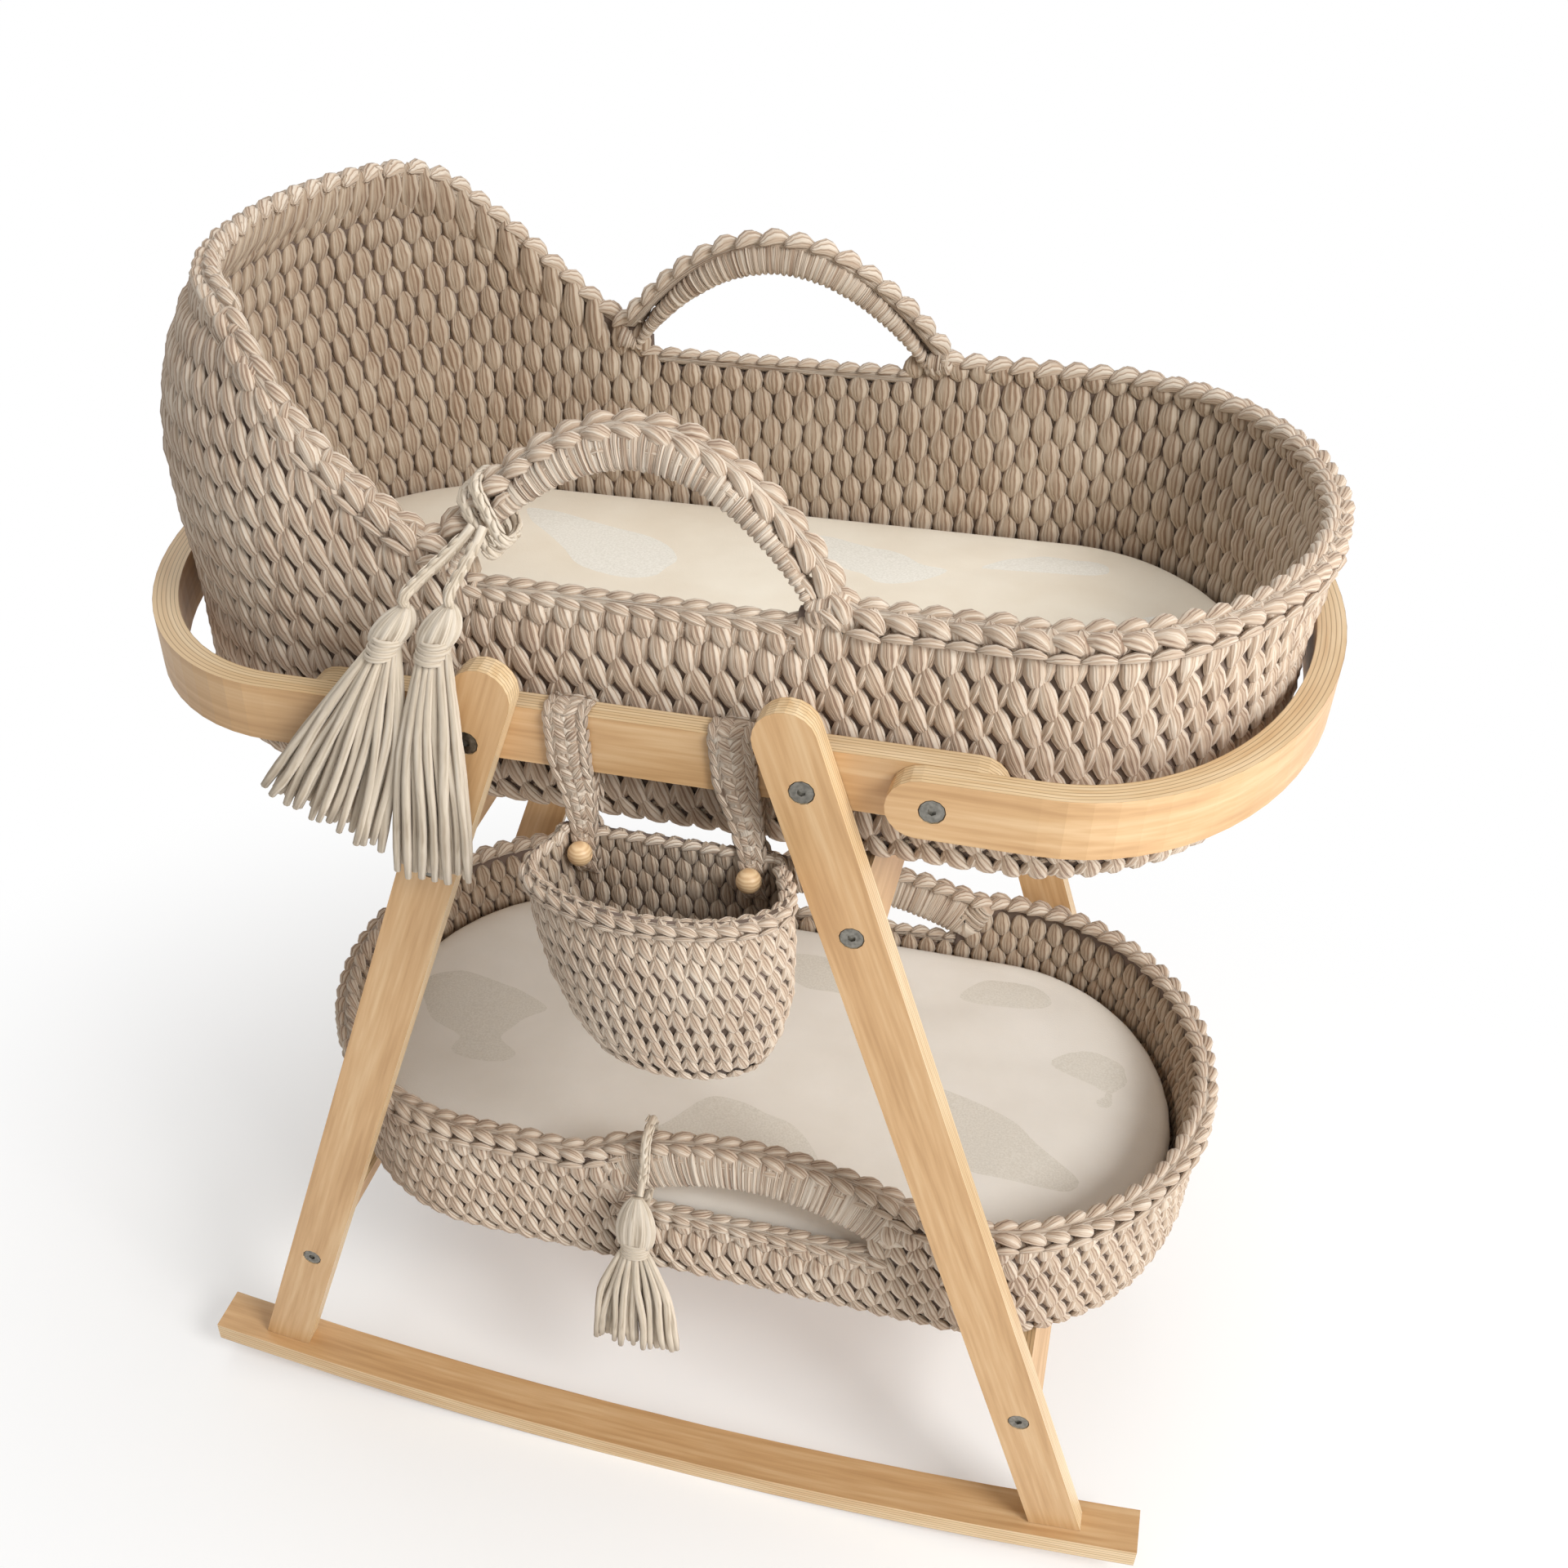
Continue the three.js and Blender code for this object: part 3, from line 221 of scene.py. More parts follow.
# %% [markdown]
# ## Sizes of the soft pieces
# The baskets share one plan: an oval with straight sides and elliptical ends. The same few numbers
# shaped the rigid model, so a stitched wall made from them lies exactly where its solid lies.

# %% Sizes
MM = 0.001
WALL = 18 * MM
BRAID = 11 * MM
BRAID_INSET = 8.5 * MM
FOOT_IN = 14 * MM
KNEE = 30 * MM
HANDLE_SPAN = 125 * MM
HANDLE_INNER_SPAN = 97 * MM
HANDLE_THICKNESS = 20 * MM
OPENING_REACH = 101 * MM
HOOD_FOOT_X = -84 * MM
HOOD_TOP_X = -318 * MM
HOOD_LEAN_END = 54 * MM
HOOD_LEAN_SIDE = 37 * MM

upper = SimpleNamespace(
    name="upper", x=0.0, straight=220 * MM, end=163 * MM, half=200.5 * MM, floor=622.279 * MM,
    rim=806 * MM, flare_side=5.0 * MM, flare_end=6 * MM, flare_from=727 * MM, handle_x=-12 * MM,
    opening=788 * MM, rise=86 * MM, lean=27 * MM, arch=70 * MM, hood=128 * MM, rows=8, pad_edge=676 * MM,
)
lower = SimpleNamespace(
    name="lower", x=32 * MM, straight=190 * MM, end=176 * MM, half=204.5 * MM, floor=183.679 * MM,
    rim=319 * MM, flare_side=2.5 * MM, flare_end=3 * MM, flare_from=262 * MM, handle_x=38 * MM,
    opening=265 * MM, rise=24 * MM, lean=13 * MM, arch=32 * MM, hood=0.0, rows=6, pad_edge=258 * MM,
)


def clamp(value):
    return max(0.0, min(1.0, value))


def mix(a, b, share):
    return a + (b - a) * share


def angles(count):
    """Even angles once round a circle."""
    return [2 * math.pi * k / count for k in range(count)]


def squared_off(value, power):
    """A cosine or sine pushed outwards, which turns a circle into a rounded square."""
    return math.copysign(abs(value) ** power, value)


# %% [markdown]
# ## Round the oval
# A stitch is placed by its share of the way round the basket and by its height. The plan is walked once
# in small steps, and its length up to each step is kept, so that equal shares give equal stitches.

# %% Plan of a basket
END_STEPS = 48


def running_lengths(points):
    """The distance along a line of points up to each of them."""
    lengths = [0.0]
    for a, b in zip(points, points[1:]):
        lengths.append(lengths[-1] + (b - a).length)
    return lengths


def find_between(marks, value):
    """The number of the mark after a value, and the share of the way to it from the mark before."""
    after = min(max(bisect.bisect_right(marks, value), 1), len(marks) - 1)
    low, high = marks[after - 1], marks[after]
    return after, (value - low) / (high - low) if high != low else 0.0


def walk(basket):
    """Keeps the basket's stations, each (x, cosine, sine), and the share of the way round to each."""
    stations = [(0.0, 0.0, -1.0), (basket.straight, 0.0, -1.0)]
    for side in (1, -1):
        for step in range(1, END_STEPS + 1):
            angle = -side * math.pi / 2 + math.pi * step / END_STEPS
            stations.append((side * basket.straight, math.cos(angle), math.sin(angle)))
        if side == 1:
            stations.append((-basket.straight, 0.0, 1.0))
    stations.append((0.0, 0.0, -1.0))
    places = [
        Vector((x + (basket.end - WALL / 2) * c, (basket.half - WALL / 2) * s)) for x, c, s in stations
    ]
    lengths = running_lengths(places)
    basket.stations = stations
    basket.length = lengths[-1]
    basket.shares = [length / basket.length for length in lengths]


def station_at(basket, share):
    after, run = find_between(basket.shares, share % 1.0)
    (x, c, s), (next_x, next_c, next_s) = basket.stations[after - 1], basket.stations[after]
    c, s = mix(c, next_c, run), mix(s, next_s, run)
    size = math.hypot(c, s)
    return mix(x, next_x, run), c / size, s / size


for basket in (upper, lower):
    walk(basket)
    print(basket.name, "basket is", round(basket.length, 3), "m round")


# %% [markdown]
# ## The wall's surface
# The wall's foot is drawn in, its upper part flares a little, and the hood leans over the head end.
# One function gives a point on the wall, and another the height of its top edge.

# %% Wall surface
def on_wall(basket, station, z, inset=0.0):
    x, c, s = station
    up = (z - basket.floor) / KNEE
    if up < 0.4:
        inset += mix(FOOT_IN, FOOT_IN / 4, max(up, 0.0) / 0.4)
    elif up < 1:
        inset += mix(FOOT_IN / 4, 0.0, (up - 0.4) / 0.6)
    flare = clamp((z - basket.flare_from) / (basket.rim - 2 * BRAID - basket.flare_from))
    lean = (max(0.0, z - basket.rim) / basket.hood) ** 2.2 if basket.hood else 0.0
    reach = basket.end + flare * basket.flare_end - inset - HOOD_LEAN_END * lean
    side = basket.half + flare * basket.flare_side - inset - HOOD_LEAN_SIDE * lean
    return Vector((basket.x + x + reach * c, MIDDLE_Y + side * s, z))


def hood_top(basket, x):
    run = clamp((HOOD_FOOT_X - x) / (HOOD_FOOT_X - HOOD_TOP_X)) ** 1.1
    return basket.rim + basket.hood * run * run * (3 - 2 * run)


def wall_top(basket, station, with_opening=True):
    x, c, _ = station
    plain_x = x + basket.end * c
    if with_opening and abs(c) < 1e-6 and abs(plain_x - basket.handle_x) < OPENING_REACH:
        return basket.opening
    return hood_top(basket, plain_x)


def bow(place):
    """How far a handle has risen at a place from -1 to 1 along its span."""
    return max(0.0, math.cos(clamp(abs(place)) * math.pi / 2)) ** 0.8


def surface_axes(basket, share, z, inset, inward=False):
    """The wall's point at a share of the way round, and its directions along the row, up and out."""
    station = station_at(basket, share)
    step = 0.002
    point = on_wall(basket, station, z, inset)
    ahead = on_wall(basket, station_at(basket, share + step), z, inset)
    behind = on_wall(basket, station_at(basket, share - step), z, inset)
    above = on_wall(basket, station, z + 4 * MM, inset)
    below = on_wall(basket, station, z - 4 * MM, inset)
    along = (ahead - behind).normalized() * (-1 if inward else 1)
    up = (above - below).normalized()
    out = along.cross(up).normalized()
    return point, along, out.cross(along), out


# %% [markdown]
# ## Building blocks
# Soft pieces are made of three things: leaves of yarn, tubes swept along a path, and shells. A leaf is a
# sphere drawn long and tapered. It has few faces, because one wall holds over a thousand of them.

# %% Leaves, copies and pieces
def new_mesh_builder():
    bm = bmesh.new()
    bm.loops.layers.uv.new("yarn")
    return bm


def as_mesh(name, bm):
    mesh = bpy.data.meshes.new(name)
    bm.to_mesh(mesh)
    bm.free()
    return mesh


def add_leaf(bm, start, end, width, height, lift, taper=0.0, sides=8, rings=6, point=0.25):
    """A strand from start to end that swells in its middle, in a template's own units."""
    start, end = Vector(start), Vector(end)
    made = bmesh.ops.create_uvsphere(bm, u_segments=sides, v_segments=rings, radius=1, calc_uvs=True)
    along = end - start
    half = along.length / 2
    along.normalize()
    across = along.cross(Vector((0, 0, 1))).normalized()
    out = across.cross(along)
    for vert in made["verts"]:
        x, y, t = vert.co
        swell = (1 - taper * t) * (1 - point * t * t)
        middle = (start + end) / 2 + out * lift * (1 - t * t)
        vert.co = middle + along * t * half + across * x * width * swell + out * y * height * swell


def template(name, *leaves):
    """A small mesh of a few leaves, each a dict of what add_leaf asks for."""
    bm = new_mesh_builder()
    for leaf in leaves:
        add_leaf(bm, **leaf)
    bmesh.ops.recalc_face_normals(bm, faces=bm.faces)
    return as_mesh(name, bm)


def add_copies(bm, shape, places):
    """Adds one copy of a template mesh at each matrix."""
    for place in places:
        copy = shape.copy()
        copy.transform(place)
        bm.from_mesh(copy)
        bpy.data.meshes.remove(copy)


def axes_matrix(point, along, up, out):
    place = Matrix((along, up, out)).transposed().to_4x4()
    place.translation = point
    return place


def finish_piece(name, bm, material, body, slot, node):
    """Makes an object that rides on a body, fills a slot and stands for a node of the rigid model."""
    mesh = as_mesh(name, bm)
    mesh.shade_smooth()
    mesh.materials.append(material)
    piece = bpy.data.objects.new(name, mesh)
    bpy.context.scene.collection.objects.link(piece)
    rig.ride(piece, body)
    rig.slot(piece, slot)
    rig.replaces(piece, node)
    print(name, "has", sum(len(face.vertices) - 2 for face in mesh.polygons), "triangles")
    return piece


def finish_crochet(basket, name, bm, yarn, node):
    """The same for a crocheted piece of one of the two baskets."""
    return finish_piece(
        f"{basket.name}_{name}", bm, yarn, f"{basket.name}_basket", "crochet_cotton", f"{basket.name}_{node}"
    )


# %% Lofts and swept tubes
def extrude_ring(bm, ring):
    """Grows one row of faces from a closed ring of points, and returns the new ring."""
    edges = [bm.edges.get((a, b)) for a, b in zip(ring, ring[1:] + ring[:1])]
    grown = bmesh.ops.extrude_edge_only(bm, edges=edges)["geom"]
    old = set(ring)
    above = {}
    for vert in (g for g in grown if isinstance(g, bmesh.types.BMVert)):
        for edge in vert.link_edges:
            if edge.other_vert(vert) in old:
                above[edge.other_vert(vert)] = vert
    return [above[vert] for vert in ring]


def add_loft(bm, rows, closed=False, caps=True, yarn=None):
    """A skin over rows of points, each a ring. yarn is the map's (turns round, distance at each row)."""
    first = [bm.verts.new(point) for point in rows[0]]
    for a, b in zip(first, first[1:] + first[:1]):
        bm.edges.new((a, b))
    rings = [first]
    for row in rows[1:]:
        ring = extrude_ring(bm, rings[-1])
        for vert, point in zip(ring, row):
            vert.co = point
        rings.append(ring)
    if closed:
        ends = [rings[0], rings[-1]]
        seam = [bm.edges.get((a, b)) for ring in ends for a, b in zip(ring, ring[1:] + ring[:1])]
        bmesh.ops.bridge_loops(bm, edges=seam)
    elif caps:
        bm.faces.new(rings[0][::-1])
        bm.faces.new(rings[-1])
    faces = list({face for ring in rings for vert in ring for face in vert.link_faces})
    if yarn:
        map_loft(bm, rings, faces, *yarn)
    bmesh.ops.recalc_face_normals(bm, faces=faces)
    return rings


def map_loft(bm, rings, faces, turns, distances):
    """Lays the yarn map on a loft: across is the way round each ring, and along is the distance."""
    uv = bm.loops.layers.uv.verify()
    where = {vert: (i, k) for i, ring in enumerate(rings) for k, vert in enumerate(ring)}
    count = len(rings[0])
    for face in faces:
        spots = [where[loop.vert] for loop in face.loops]
        if len(spots) != 4:
            continue
        over_seam = {0, count - 1} <= {k for _, k in spots}
        over_end = {0, len(rings) - 1} <= {i for i, _ in spots}
        for loop, (i, k) in zip(face.loops, spots):
            way = count if over_seam and k == 0 else k
            distance = distances[-1] if over_end and i == 0 else distances[i]
            loop[uv].uv = (way / count * turns, distance)


def path_directions(path, closed):
    count = len(path)
    for i in range(count):
        before = path[(i - 1) % count] if closed or i else path[0]
        after = path[(i + 1) % count] if closed or i < count - 1 else path[-1]
        yield (after - before).normalized()


def add_tube(bm, path, section, closed=False, side_hint=Vector((0, 1, 0)), yarn=(1.0, 1.0)):
    """Sweeps rings of points along a path. section(i) gives ring i as (across, up) pairs."""
    rows = []
    for i, along in enumerate(path_directions(path, closed)):
        across = (side_hint - along * side_hint.dot(along)).normalized()
        up = along.cross(across)
        rows.append([path[i] + across * u + up * v for u, v in section(i)])
    distances = [length * yarn[1] for length in running_lengths(path + path[:1])]
    return add_loft(bm, rows, closed, yarn=(yarn[0], distances))


def round_section(radius, sides=10, flat=1.0):
    return lambda _: [(radius * math.cos(a), radius * flat * math.sin(a)) for a in angles(sides)]


# %% [markdown]
# ## Colours and the yarn
# Every colour is written as it shows on screen, and one function turns it to the linear value that the
# shader needs. The crochet is cotton jersey tape, a flat strip of cloth that rolls into a soft cord. Up
# close it shows fine folds that run along the yarn, so its noise is stretched along the yarn's own map.
# The folds' grooves are painted darker, as shade, and their ridges lighter, as highlight.

# %% Colours and node helper
def colour(text):
    parts = [int(text[i : i + 2], 16) / 255 for i in (1, 3, 5)]
    return [p / 12.92 if p <= 0.04045 else ((p + 0.055) / 1.055) ** 2.4 for p in parts] + [1.0]


def set_inputs(node, inputs):
    """Sets inputs, each to a value, to a socket, or to a node, which stands for its output in use."""
    for name, value in inputs.items():
        if isinstance(value, bpy.types.Node):
            value = next(output for output in value.outputs if output.enabled)
        if isinstance(value, bpy.types.NodeSocket):
            node.id_data.links.new(value, node.inputs[name])
        else:
            node.inputs[name].default_value = value


def add_node(tree, kind, inputs=None, stops=(), **settings):
    """Adds one node with its settings, its inputs and, for a colour ramp, its stops."""
    node = tree.nodes.new("ShaderNode" + kind)
    for name, value in settings.items():
        setattr(node, name, value)
    set_inputs(node, inputs or {})
    for number, (place, text) in enumerate(stops):
        elements = node.color_ramp.elements
        element = elements[number] if number < 2 else elements.new(place)
        element.position = place
        element.color = colour(text)
    return node


def new_material(name, inputs):
    material = bpy.data.materials.new(name)
    material.use_nodes = True
    tree = material.node_tree
    shader = tree.nodes["Principled BSDF"]
    set_inputs(shader, inputs)
    return material, tree, shader


def clouded(tree, scale, detail, stops):
    """A soft noise in the object's own space, and the colours that a ramp gives it."""
    spot = add_node(tree, "TexCoord").outputs["Object"]
    cloud = add_node(tree, "TexNoise", {"Vector": spot, "Scale": scale, "Detail": detail})
    return cloud, add_node(tree, "ValToRGB", {"Fac": cloud}, stops)


def tape_yarn(name, dark, middle, light, folds=17.0, depth=0.9):
    """Cotton jersey tape: matte, with soft fuzz at grazing angles and folds along the strand. The folds' grooves are
    painted darker, as shade, and their ridges lighter, as highlight.
    """
    material, tree, shader = new_material(
        name, {"Roughness": 0.92, "Specular IOR Level": 0.25, "Sheen Weight": 0.12, "Sheen Roughness": 0.6}
    )
    spot = add_node(tree, "TexCoord").outputs
    drift = add_node(tree, "TexNoise", {"Vector": spot["Object"], "Scale": 30.0}).outputs["Color"]
    moved = add_node(
        tree, "VectorMath", {0: spot["UV"], 1: (folds, 0.5, 1.0), 2: drift}, operation="MULTIPLY_ADD"
    )
    streaks = add_node(tree, "TexNoise", {"Vector": moved, "Scale": 1.0, "Detail": 2.0})
    # The middle stop is the yarn's own colour; the dark stop is painted shade in the fold grooves, and the light stop
    # is painted highlight on the ridges.
    tone = add_node(tree, "ValToRGB", {"Fac": streaks}, [(0.33, dark), (0.62, light), (0.45, middle)])
    broad = add_node(tree, "TexNoise", {"Vector": spot["Object"], "Scale": 9.0})
    shade = add_node(
        tree, "MapRange", {"Value": broad, "From Min": 0.3, "From Max": 0.7, "To Min": 0.93, "To Max": 1.05}
    )
    tinted = add_node(tree, "VectorMath", {0: tone, "Scale": shade}, operation="SCALE")
    bump = add_node(tree, "Bump", {"Strength": depth, "Distance": 0.002, "Height": streaks})
    set_inputs(shader, {"Base Color": tinted, "Normal": bump})
    return material


outside_yarn = tape_yarn("crocheted_cotton_tape", "#8F7663", "#BFA993", "#DACDBC")
# The inside copy of the same tape is made a little darker: painted shade on the inner walls of the baskets and the
# pocket.
shaded_inside_yarn = tape_yarn("crocheted_cotton_tape_inside", "#8B715B", "#B5A08A", "#CFC0AC")
pale_yarn = tape_yarn("cotton_tape_undyed", "#AA9A86", "#C5B7A3", "#D6CAB9", folds=5.0, depth=0.3)
# The ground's yarn is much darker than the stitches' yarn: it is painted shade for the gaps between the stitches.
gap_shade_yarn = tape_yarn("crochet_ground", "#4E3F34", "#635245", "#75645A", depth=0.2)
print("yarns:", len(bpy.data.materials))

# %% [markdown]
# ## Stitches on the walls
# Outside, each stitch is a V of a broad leaf and a thin one, which lean down to the foot end. Inside it
# shows as one upright grain. Each row is shifted against the one below, so that the columns slant.

# %% Stitch templates
v_mesh = template(
    "v_stitch",
    dict(start=(-0.5, 0.74, -0.42), end=(0.28, -0.72, -0.04), width=0.39, height=0.52, lift=0.34,
         taper=-0.14, rings=7, point=0.3),
    dict(start=(0.66, 0.6, -0.4), end=(0.28, -0.5, -0.25), width=0.25, height=0.44, lift=0.4, sides=6),
)
grain_mesh = template(
    "grain_stitch",
    dict(start=(-0.08, 0.72, -0.35), end=(0.08, -0.72, -0.2), width=0.5, height=0.52, lift=0.38,
         taper=-0.06, point=0.3),
)
upright_mesh = template(
    "upright_stitch",
    dict(start=(-0.16, 0.74, -0.35), end=(0.1, -0.72, -0.12), width=0.43, height=0.5, lift=0.38,
         rings=7, point=0.3),
    dict(start=(0.52, 0.66, -0.45), end=(0.3, -0.55, -0.3), width=0.25, height=0.42, lift=0.4,
         taper=0.1, sides=6),
)
STITCH = 16.3 * MM
STITCH_DEPTH = 8 * MM
STITCH_INSET = 5.5 * MM
GROUND_INSET = 6.2 * MM

def wall_rows(basket):
    """Heights of the rows' middles from the floor to the top of the hood, and their pitch."""
    pitch = (basket.rim - 1.85 * BRAID - basket.floor) / basket.rows
    count = basket.rows + math.ceil(basket.hood / pitch)
    return [basket.floor + pitch * (row + 0.5) for row in range(count)], pitch


def stitch_places(basket, inset, shift, inward, seed):
    """For each stitch that fits under the edge: its matrix, and whether the edge is just above it."""
    chance = random.Random(seed)
    heights, pitch = wall_rows(basket)
    count = round(basket.length / STITCH)
    for row, z in enumerate(heights):
        for i in range(count):
            share = (i + shift * row) / count
            edge = wall_top(basket, station_at(basket, share)) - 0.75 * BRAID
            foot = z - pitch / 2
            height = min(pitch, edge - foot)
            if height < 0.4 * pitch:
                continue
            point, along, up, out = surface_axes(basket, share, foot + height / 2, inset, inward)
            tilt = Matrix.Rotation(chance.uniform(-0.07, 0.07), 3, out)
            size = chance.uniform(0.94, 1.06)
            deep = STITCH_DEPTH * chance.uniform(0.9, 1.1)
            place = axes_matrix(point, tilt @ along * STITCH * size, tilt @ up * height * 1.04, out * deep)
            yield place, edge - foot < 1.9 * pitch


# %% Band inside the hood's edge
BAND = 40 * MM
BAND_FROM_RISE = 16 * MM


def under_hood_band(basket, point):
    """Whether an inside stitch would lie under the long stitches that line the hood's edge."""
    top = hood_top(basket, point.x - basket.x - 4 * MM)
    return top > basket.rim + BAND_FROM_RISE and point.z > top - BAND + 15 * MM


def hood_band_places(basket):
    """Long stitches side by side, from the braid down inside the hood."""
    chance = random.Random(14)
    count = round(basket.length / STITCH)
    for i in range(count):
        share = (i + 0.25) / count
        top = wall_top(basket, station_at(basket, share))
        if top < basket.rim + BAND_FROM_RISE:
            continue
        middle = top - BAND / 2 - 4 * MM
        point, along, up, out = surface_axes(basket, share, middle, WALL - 3.5 * MM, True)
        width = STITCH * chance.uniform(1.0, 1.12)
        deep = STITCH_DEPTH * chance.uniform(1.0, 1.2)
        yield axes_matrix(point, along * width, up * BAND * 0.82, out * deep)


# %% Stitched walls
def stitched_wall(basket):
    outside, inside = new_mesh_builder(), new_mesh_builder()
    places = list(stitch_places(basket, STITCH_INSET, -0.6, False, 11))
    add_copies(outside, v_mesh, [place for place, at_edge in places if not at_edge])
    add_copies(outside, upright_mesh, [place for place, at_edge in places if at_edge])
    places = [place for place, _ in stitch_places(basket, WALL - STITCH_INSET, 0.5, True, 12)]
    if basket.hood:
        places = [place for place in places if not under_hood_band(basket, place.translation)]
        add_copies(inside, grain_mesh, hood_band_places(basket))
    add_copies(inside, grain_mesh, places)
    finish_crochet(basket, "wall_outside", outside, outside_yarn, "basket_wall")
    finish_crochet(basket, "wall_inside", inside, shaded_inside_yarn, "basket_wall")


def wall_ground(basket):
    """The plain ground behind the stitches, which closes the gaps between them. Its dark yarn is painted shade in the
    gaps.
    """
    bm = new_mesh_builder()
    shares = [i / 240 for i in range(240)]
    # Two close stations at each end of each opening keep the wall's step there sharp
    for reach in (-OPENING_REACH, OPENING_REACH):
        front = (basket.handle_x + reach) / basket.length
        for share in (front, 0.5 - front):
            shares += [(share + step * MM / basket.length) % 1.0 for step in (-0.4, 0.4)]
    stations = [station_at(basket, share) for share in sorted(shares)]
    profile = [(GROUND_INSET, i / 12) for i in range(13)]
    profile += [(WALL - GROUND_INSET, 1 - i / 12) for i in range(13)]
    rows = [
        [
            on_wall(basket, s, mix(basket.floor, wall_top(basket, s) - BRAID, share), inset)
            for s in stations
        ]
        for inset, share in profile
    ]
    add_loft(bm, rows, closed=True)
    finish_crochet(basket, "wall_ground", bm, gap_shade_yarn, "basket_wall")


for basket in (upper, lower):
    wall_ground(basket)
    stitched_wall(basket)

# %% [markdown]
# ## Braids
# The rim ends in a chain of loops. Each loop shows as two leaves that open to the foot end at the front,
# over a round core, and a thin strand runs under them outside. The chain leaves the rim to go over the
# handles, and a thinner one edges the opening under each handle.

# %% Braids
braid_mesh = template(
    "braid_loop",
    *(
        dict(start=(-0.66, 0.06 * side, -0.1), end=(0.62, 0.76 * side, -0.25), width=0.42, height=0.5,
             lift=0.5, taper=-0.2, rings=7, point=0.2)
        for side in (1, -1)
    ),
    dict(start=(-0.6, -1.02, -0.55), end=(0.6, -0.95, -0.6), width=0.28, height=0.34, lift=0.26,
         taper=-0.1, sides=6),
)


def smooth_path(path, closed, rounds=2):
    for _ in range(rounds):
        count = len(path)
        ends = range(count) if closed else range(1, count - 1)
        moved = {i: (path[i - 1] + path[i] * 2 + path[(i + 1) % count]) / 4 for i in ends}
        path = [moved.get(i, p) for i, p in enumerate(path)]
    return path


def even_path(path, step, closed):
    """The same path with points an even step apart."""
    points = path + path[:1] if closed else path
    lengths = running_lengths(points)
    count = max(2, round(lengths[-1] / step))
    result = []
    for i in range(count if closed else count + 1):
        after, run = find_between(lengths, lengths[-1] * i / count)
        result.append(points[after - 1].lerp(points[after], clamp(run)))
    return result


def add_braid(bm, path, closed, radius, loop, top_of):
    """A chain along a path. top_of(point, along) says which way the chain's face looks."""
    chance = random.Random(5)
    spots = even_path(path, loop, closed)
    for point, along in zip(spots, path_directions(spots, closed)):
        face = top_of(point, along)
        face = (face - along * face.dot(along)).normalized()
        face = Matrix.Rotation(chance.uniform(-0.1, 0.1), 3, along) @ face
        across = face.cross(along)
        size = radius * chance.uniform(0.95, 1.05)
        add_copies(bm, braid_mesh, [axes_matrix(point, along * loop, across * size, face * size)])


def handle_y(basket, side, z):
    middle = basket.half + basket.flare_side + 2.5 * MM - BRAID
    lean = basket.lean / (basket.rim + basket.rise - basket.opening)
    return MIDDLE_Y + side * (middle - lean * (z - basket.opening))


def rim_path(basket):
    path = []
    for i in range(600):
        station = station_at(basket, i / 600)
        x, c, s = station
        z = wall_top(basket, station, with_opening=False) - BRAID
        point = on_wall(basket, station, z, BRAID_INSET)
        place = (x - basket.handle_x) / HANDLE_SPAN
        if abs(c) < 1e-6 and abs(place) < 1:
            over = basket.rim + basket.rise * bow(place) - BRAID
            if over > z:
                point = Vector((point.x, handle_y(basket, s, over), over))
        path.append(point)
    return smooth_path(even_path(path, 4 * MM, True), True, 6)


def braided_edges(basket):
    centre = Vector((basket.x, MIDDLE_Y, 0))

    def rim_face(point, along):
        out = point - centre
        out.z = 0
        return Vector((0, 0, 1)) + out.normalized() * 0.45

    rim = new_mesh_builder()
    path = rim_path(basket)
    add_tube(rim, even_path(path, 12 * MM, True), round_section(5.0 * MM), True, yarn=(4.0, 40.0))
    add_braid(rim, path, True, BRAID, 18 * MM, rim_face)
    finish_crochet(basket, "rim_braid", rim, outside_yarn, "basket_wall")
    for name, side in (("front", -1), ("rear", 1)):
        bm = new_mesh_builder()
        z = basket.opening - 5 * MM
        y = MIDDLE_Y + side * (basket.half + basket.flare_side * 0.8 - BRAID_INSET)
        reach = OPENING_REACH - 1 * MM
        edge = [Vector((basket.x + basket.handle_x + reach * k / 12, y, z)) for k in range(-12, 13)]
        if side > 0:
            edge.reverse()
        add_tube(bm, edge, round_section(4.5 * MM), yarn=(4.0, 40.0))
        add_braid(bm, edge, False, 8.5 * MM, 16 * MM, lambda point, along: Vector((0, side * 1.1, 1)))
        finish_crochet(basket, f"opening_braid_{name}", bm, outside_yarn, "basket_wall")


for basket in (upper, lower):
    braided_edges(basket)

# %% [markdown]
# ## Handles
# Under its braid a handle is a bar wrapped closely with yarn. Each turn is a soft ridge across the bar,
# so the bar is one swept tube whose section swells and narrows once for each turn.

# %% Handles
WRAP = 5.2 * MM
RIDGE = 1.6 * MM
OVER_OPENING = 0.3 * MM


def bar_line(basket):
    """The bar's middle line from foot to foot, each point with half the bar's height there."""
    middle_x = basket.x + basket.handle_x
    line = []
    for k in range(-40, 41):
        place = k / 40
        top = basket.rim + basket.rise * bow(place) - 9.5 * MM
        under = basket.opening + OVER_OPENING + basket.arch * bow(place)
        x = mix(HANDLE_SPAN, HANDLE_INNER_SPAN, 0.5) * place
        line.append((Vector((middle_x + x, 0, (top + under) / 2)), (top - under) / 2))
    feet = [
        (Vector((middle_x + end * (HANDLE_SPAN + 2 * MM), 0, basket.rim - 8 * MM)), 9 * MM) for end in (-1, 1)
    ]
    # At the foot end the line goes out to the foot and comes back to its last point
    return feet[:1] + line[:-1] + feet[1:] + line[-1:]


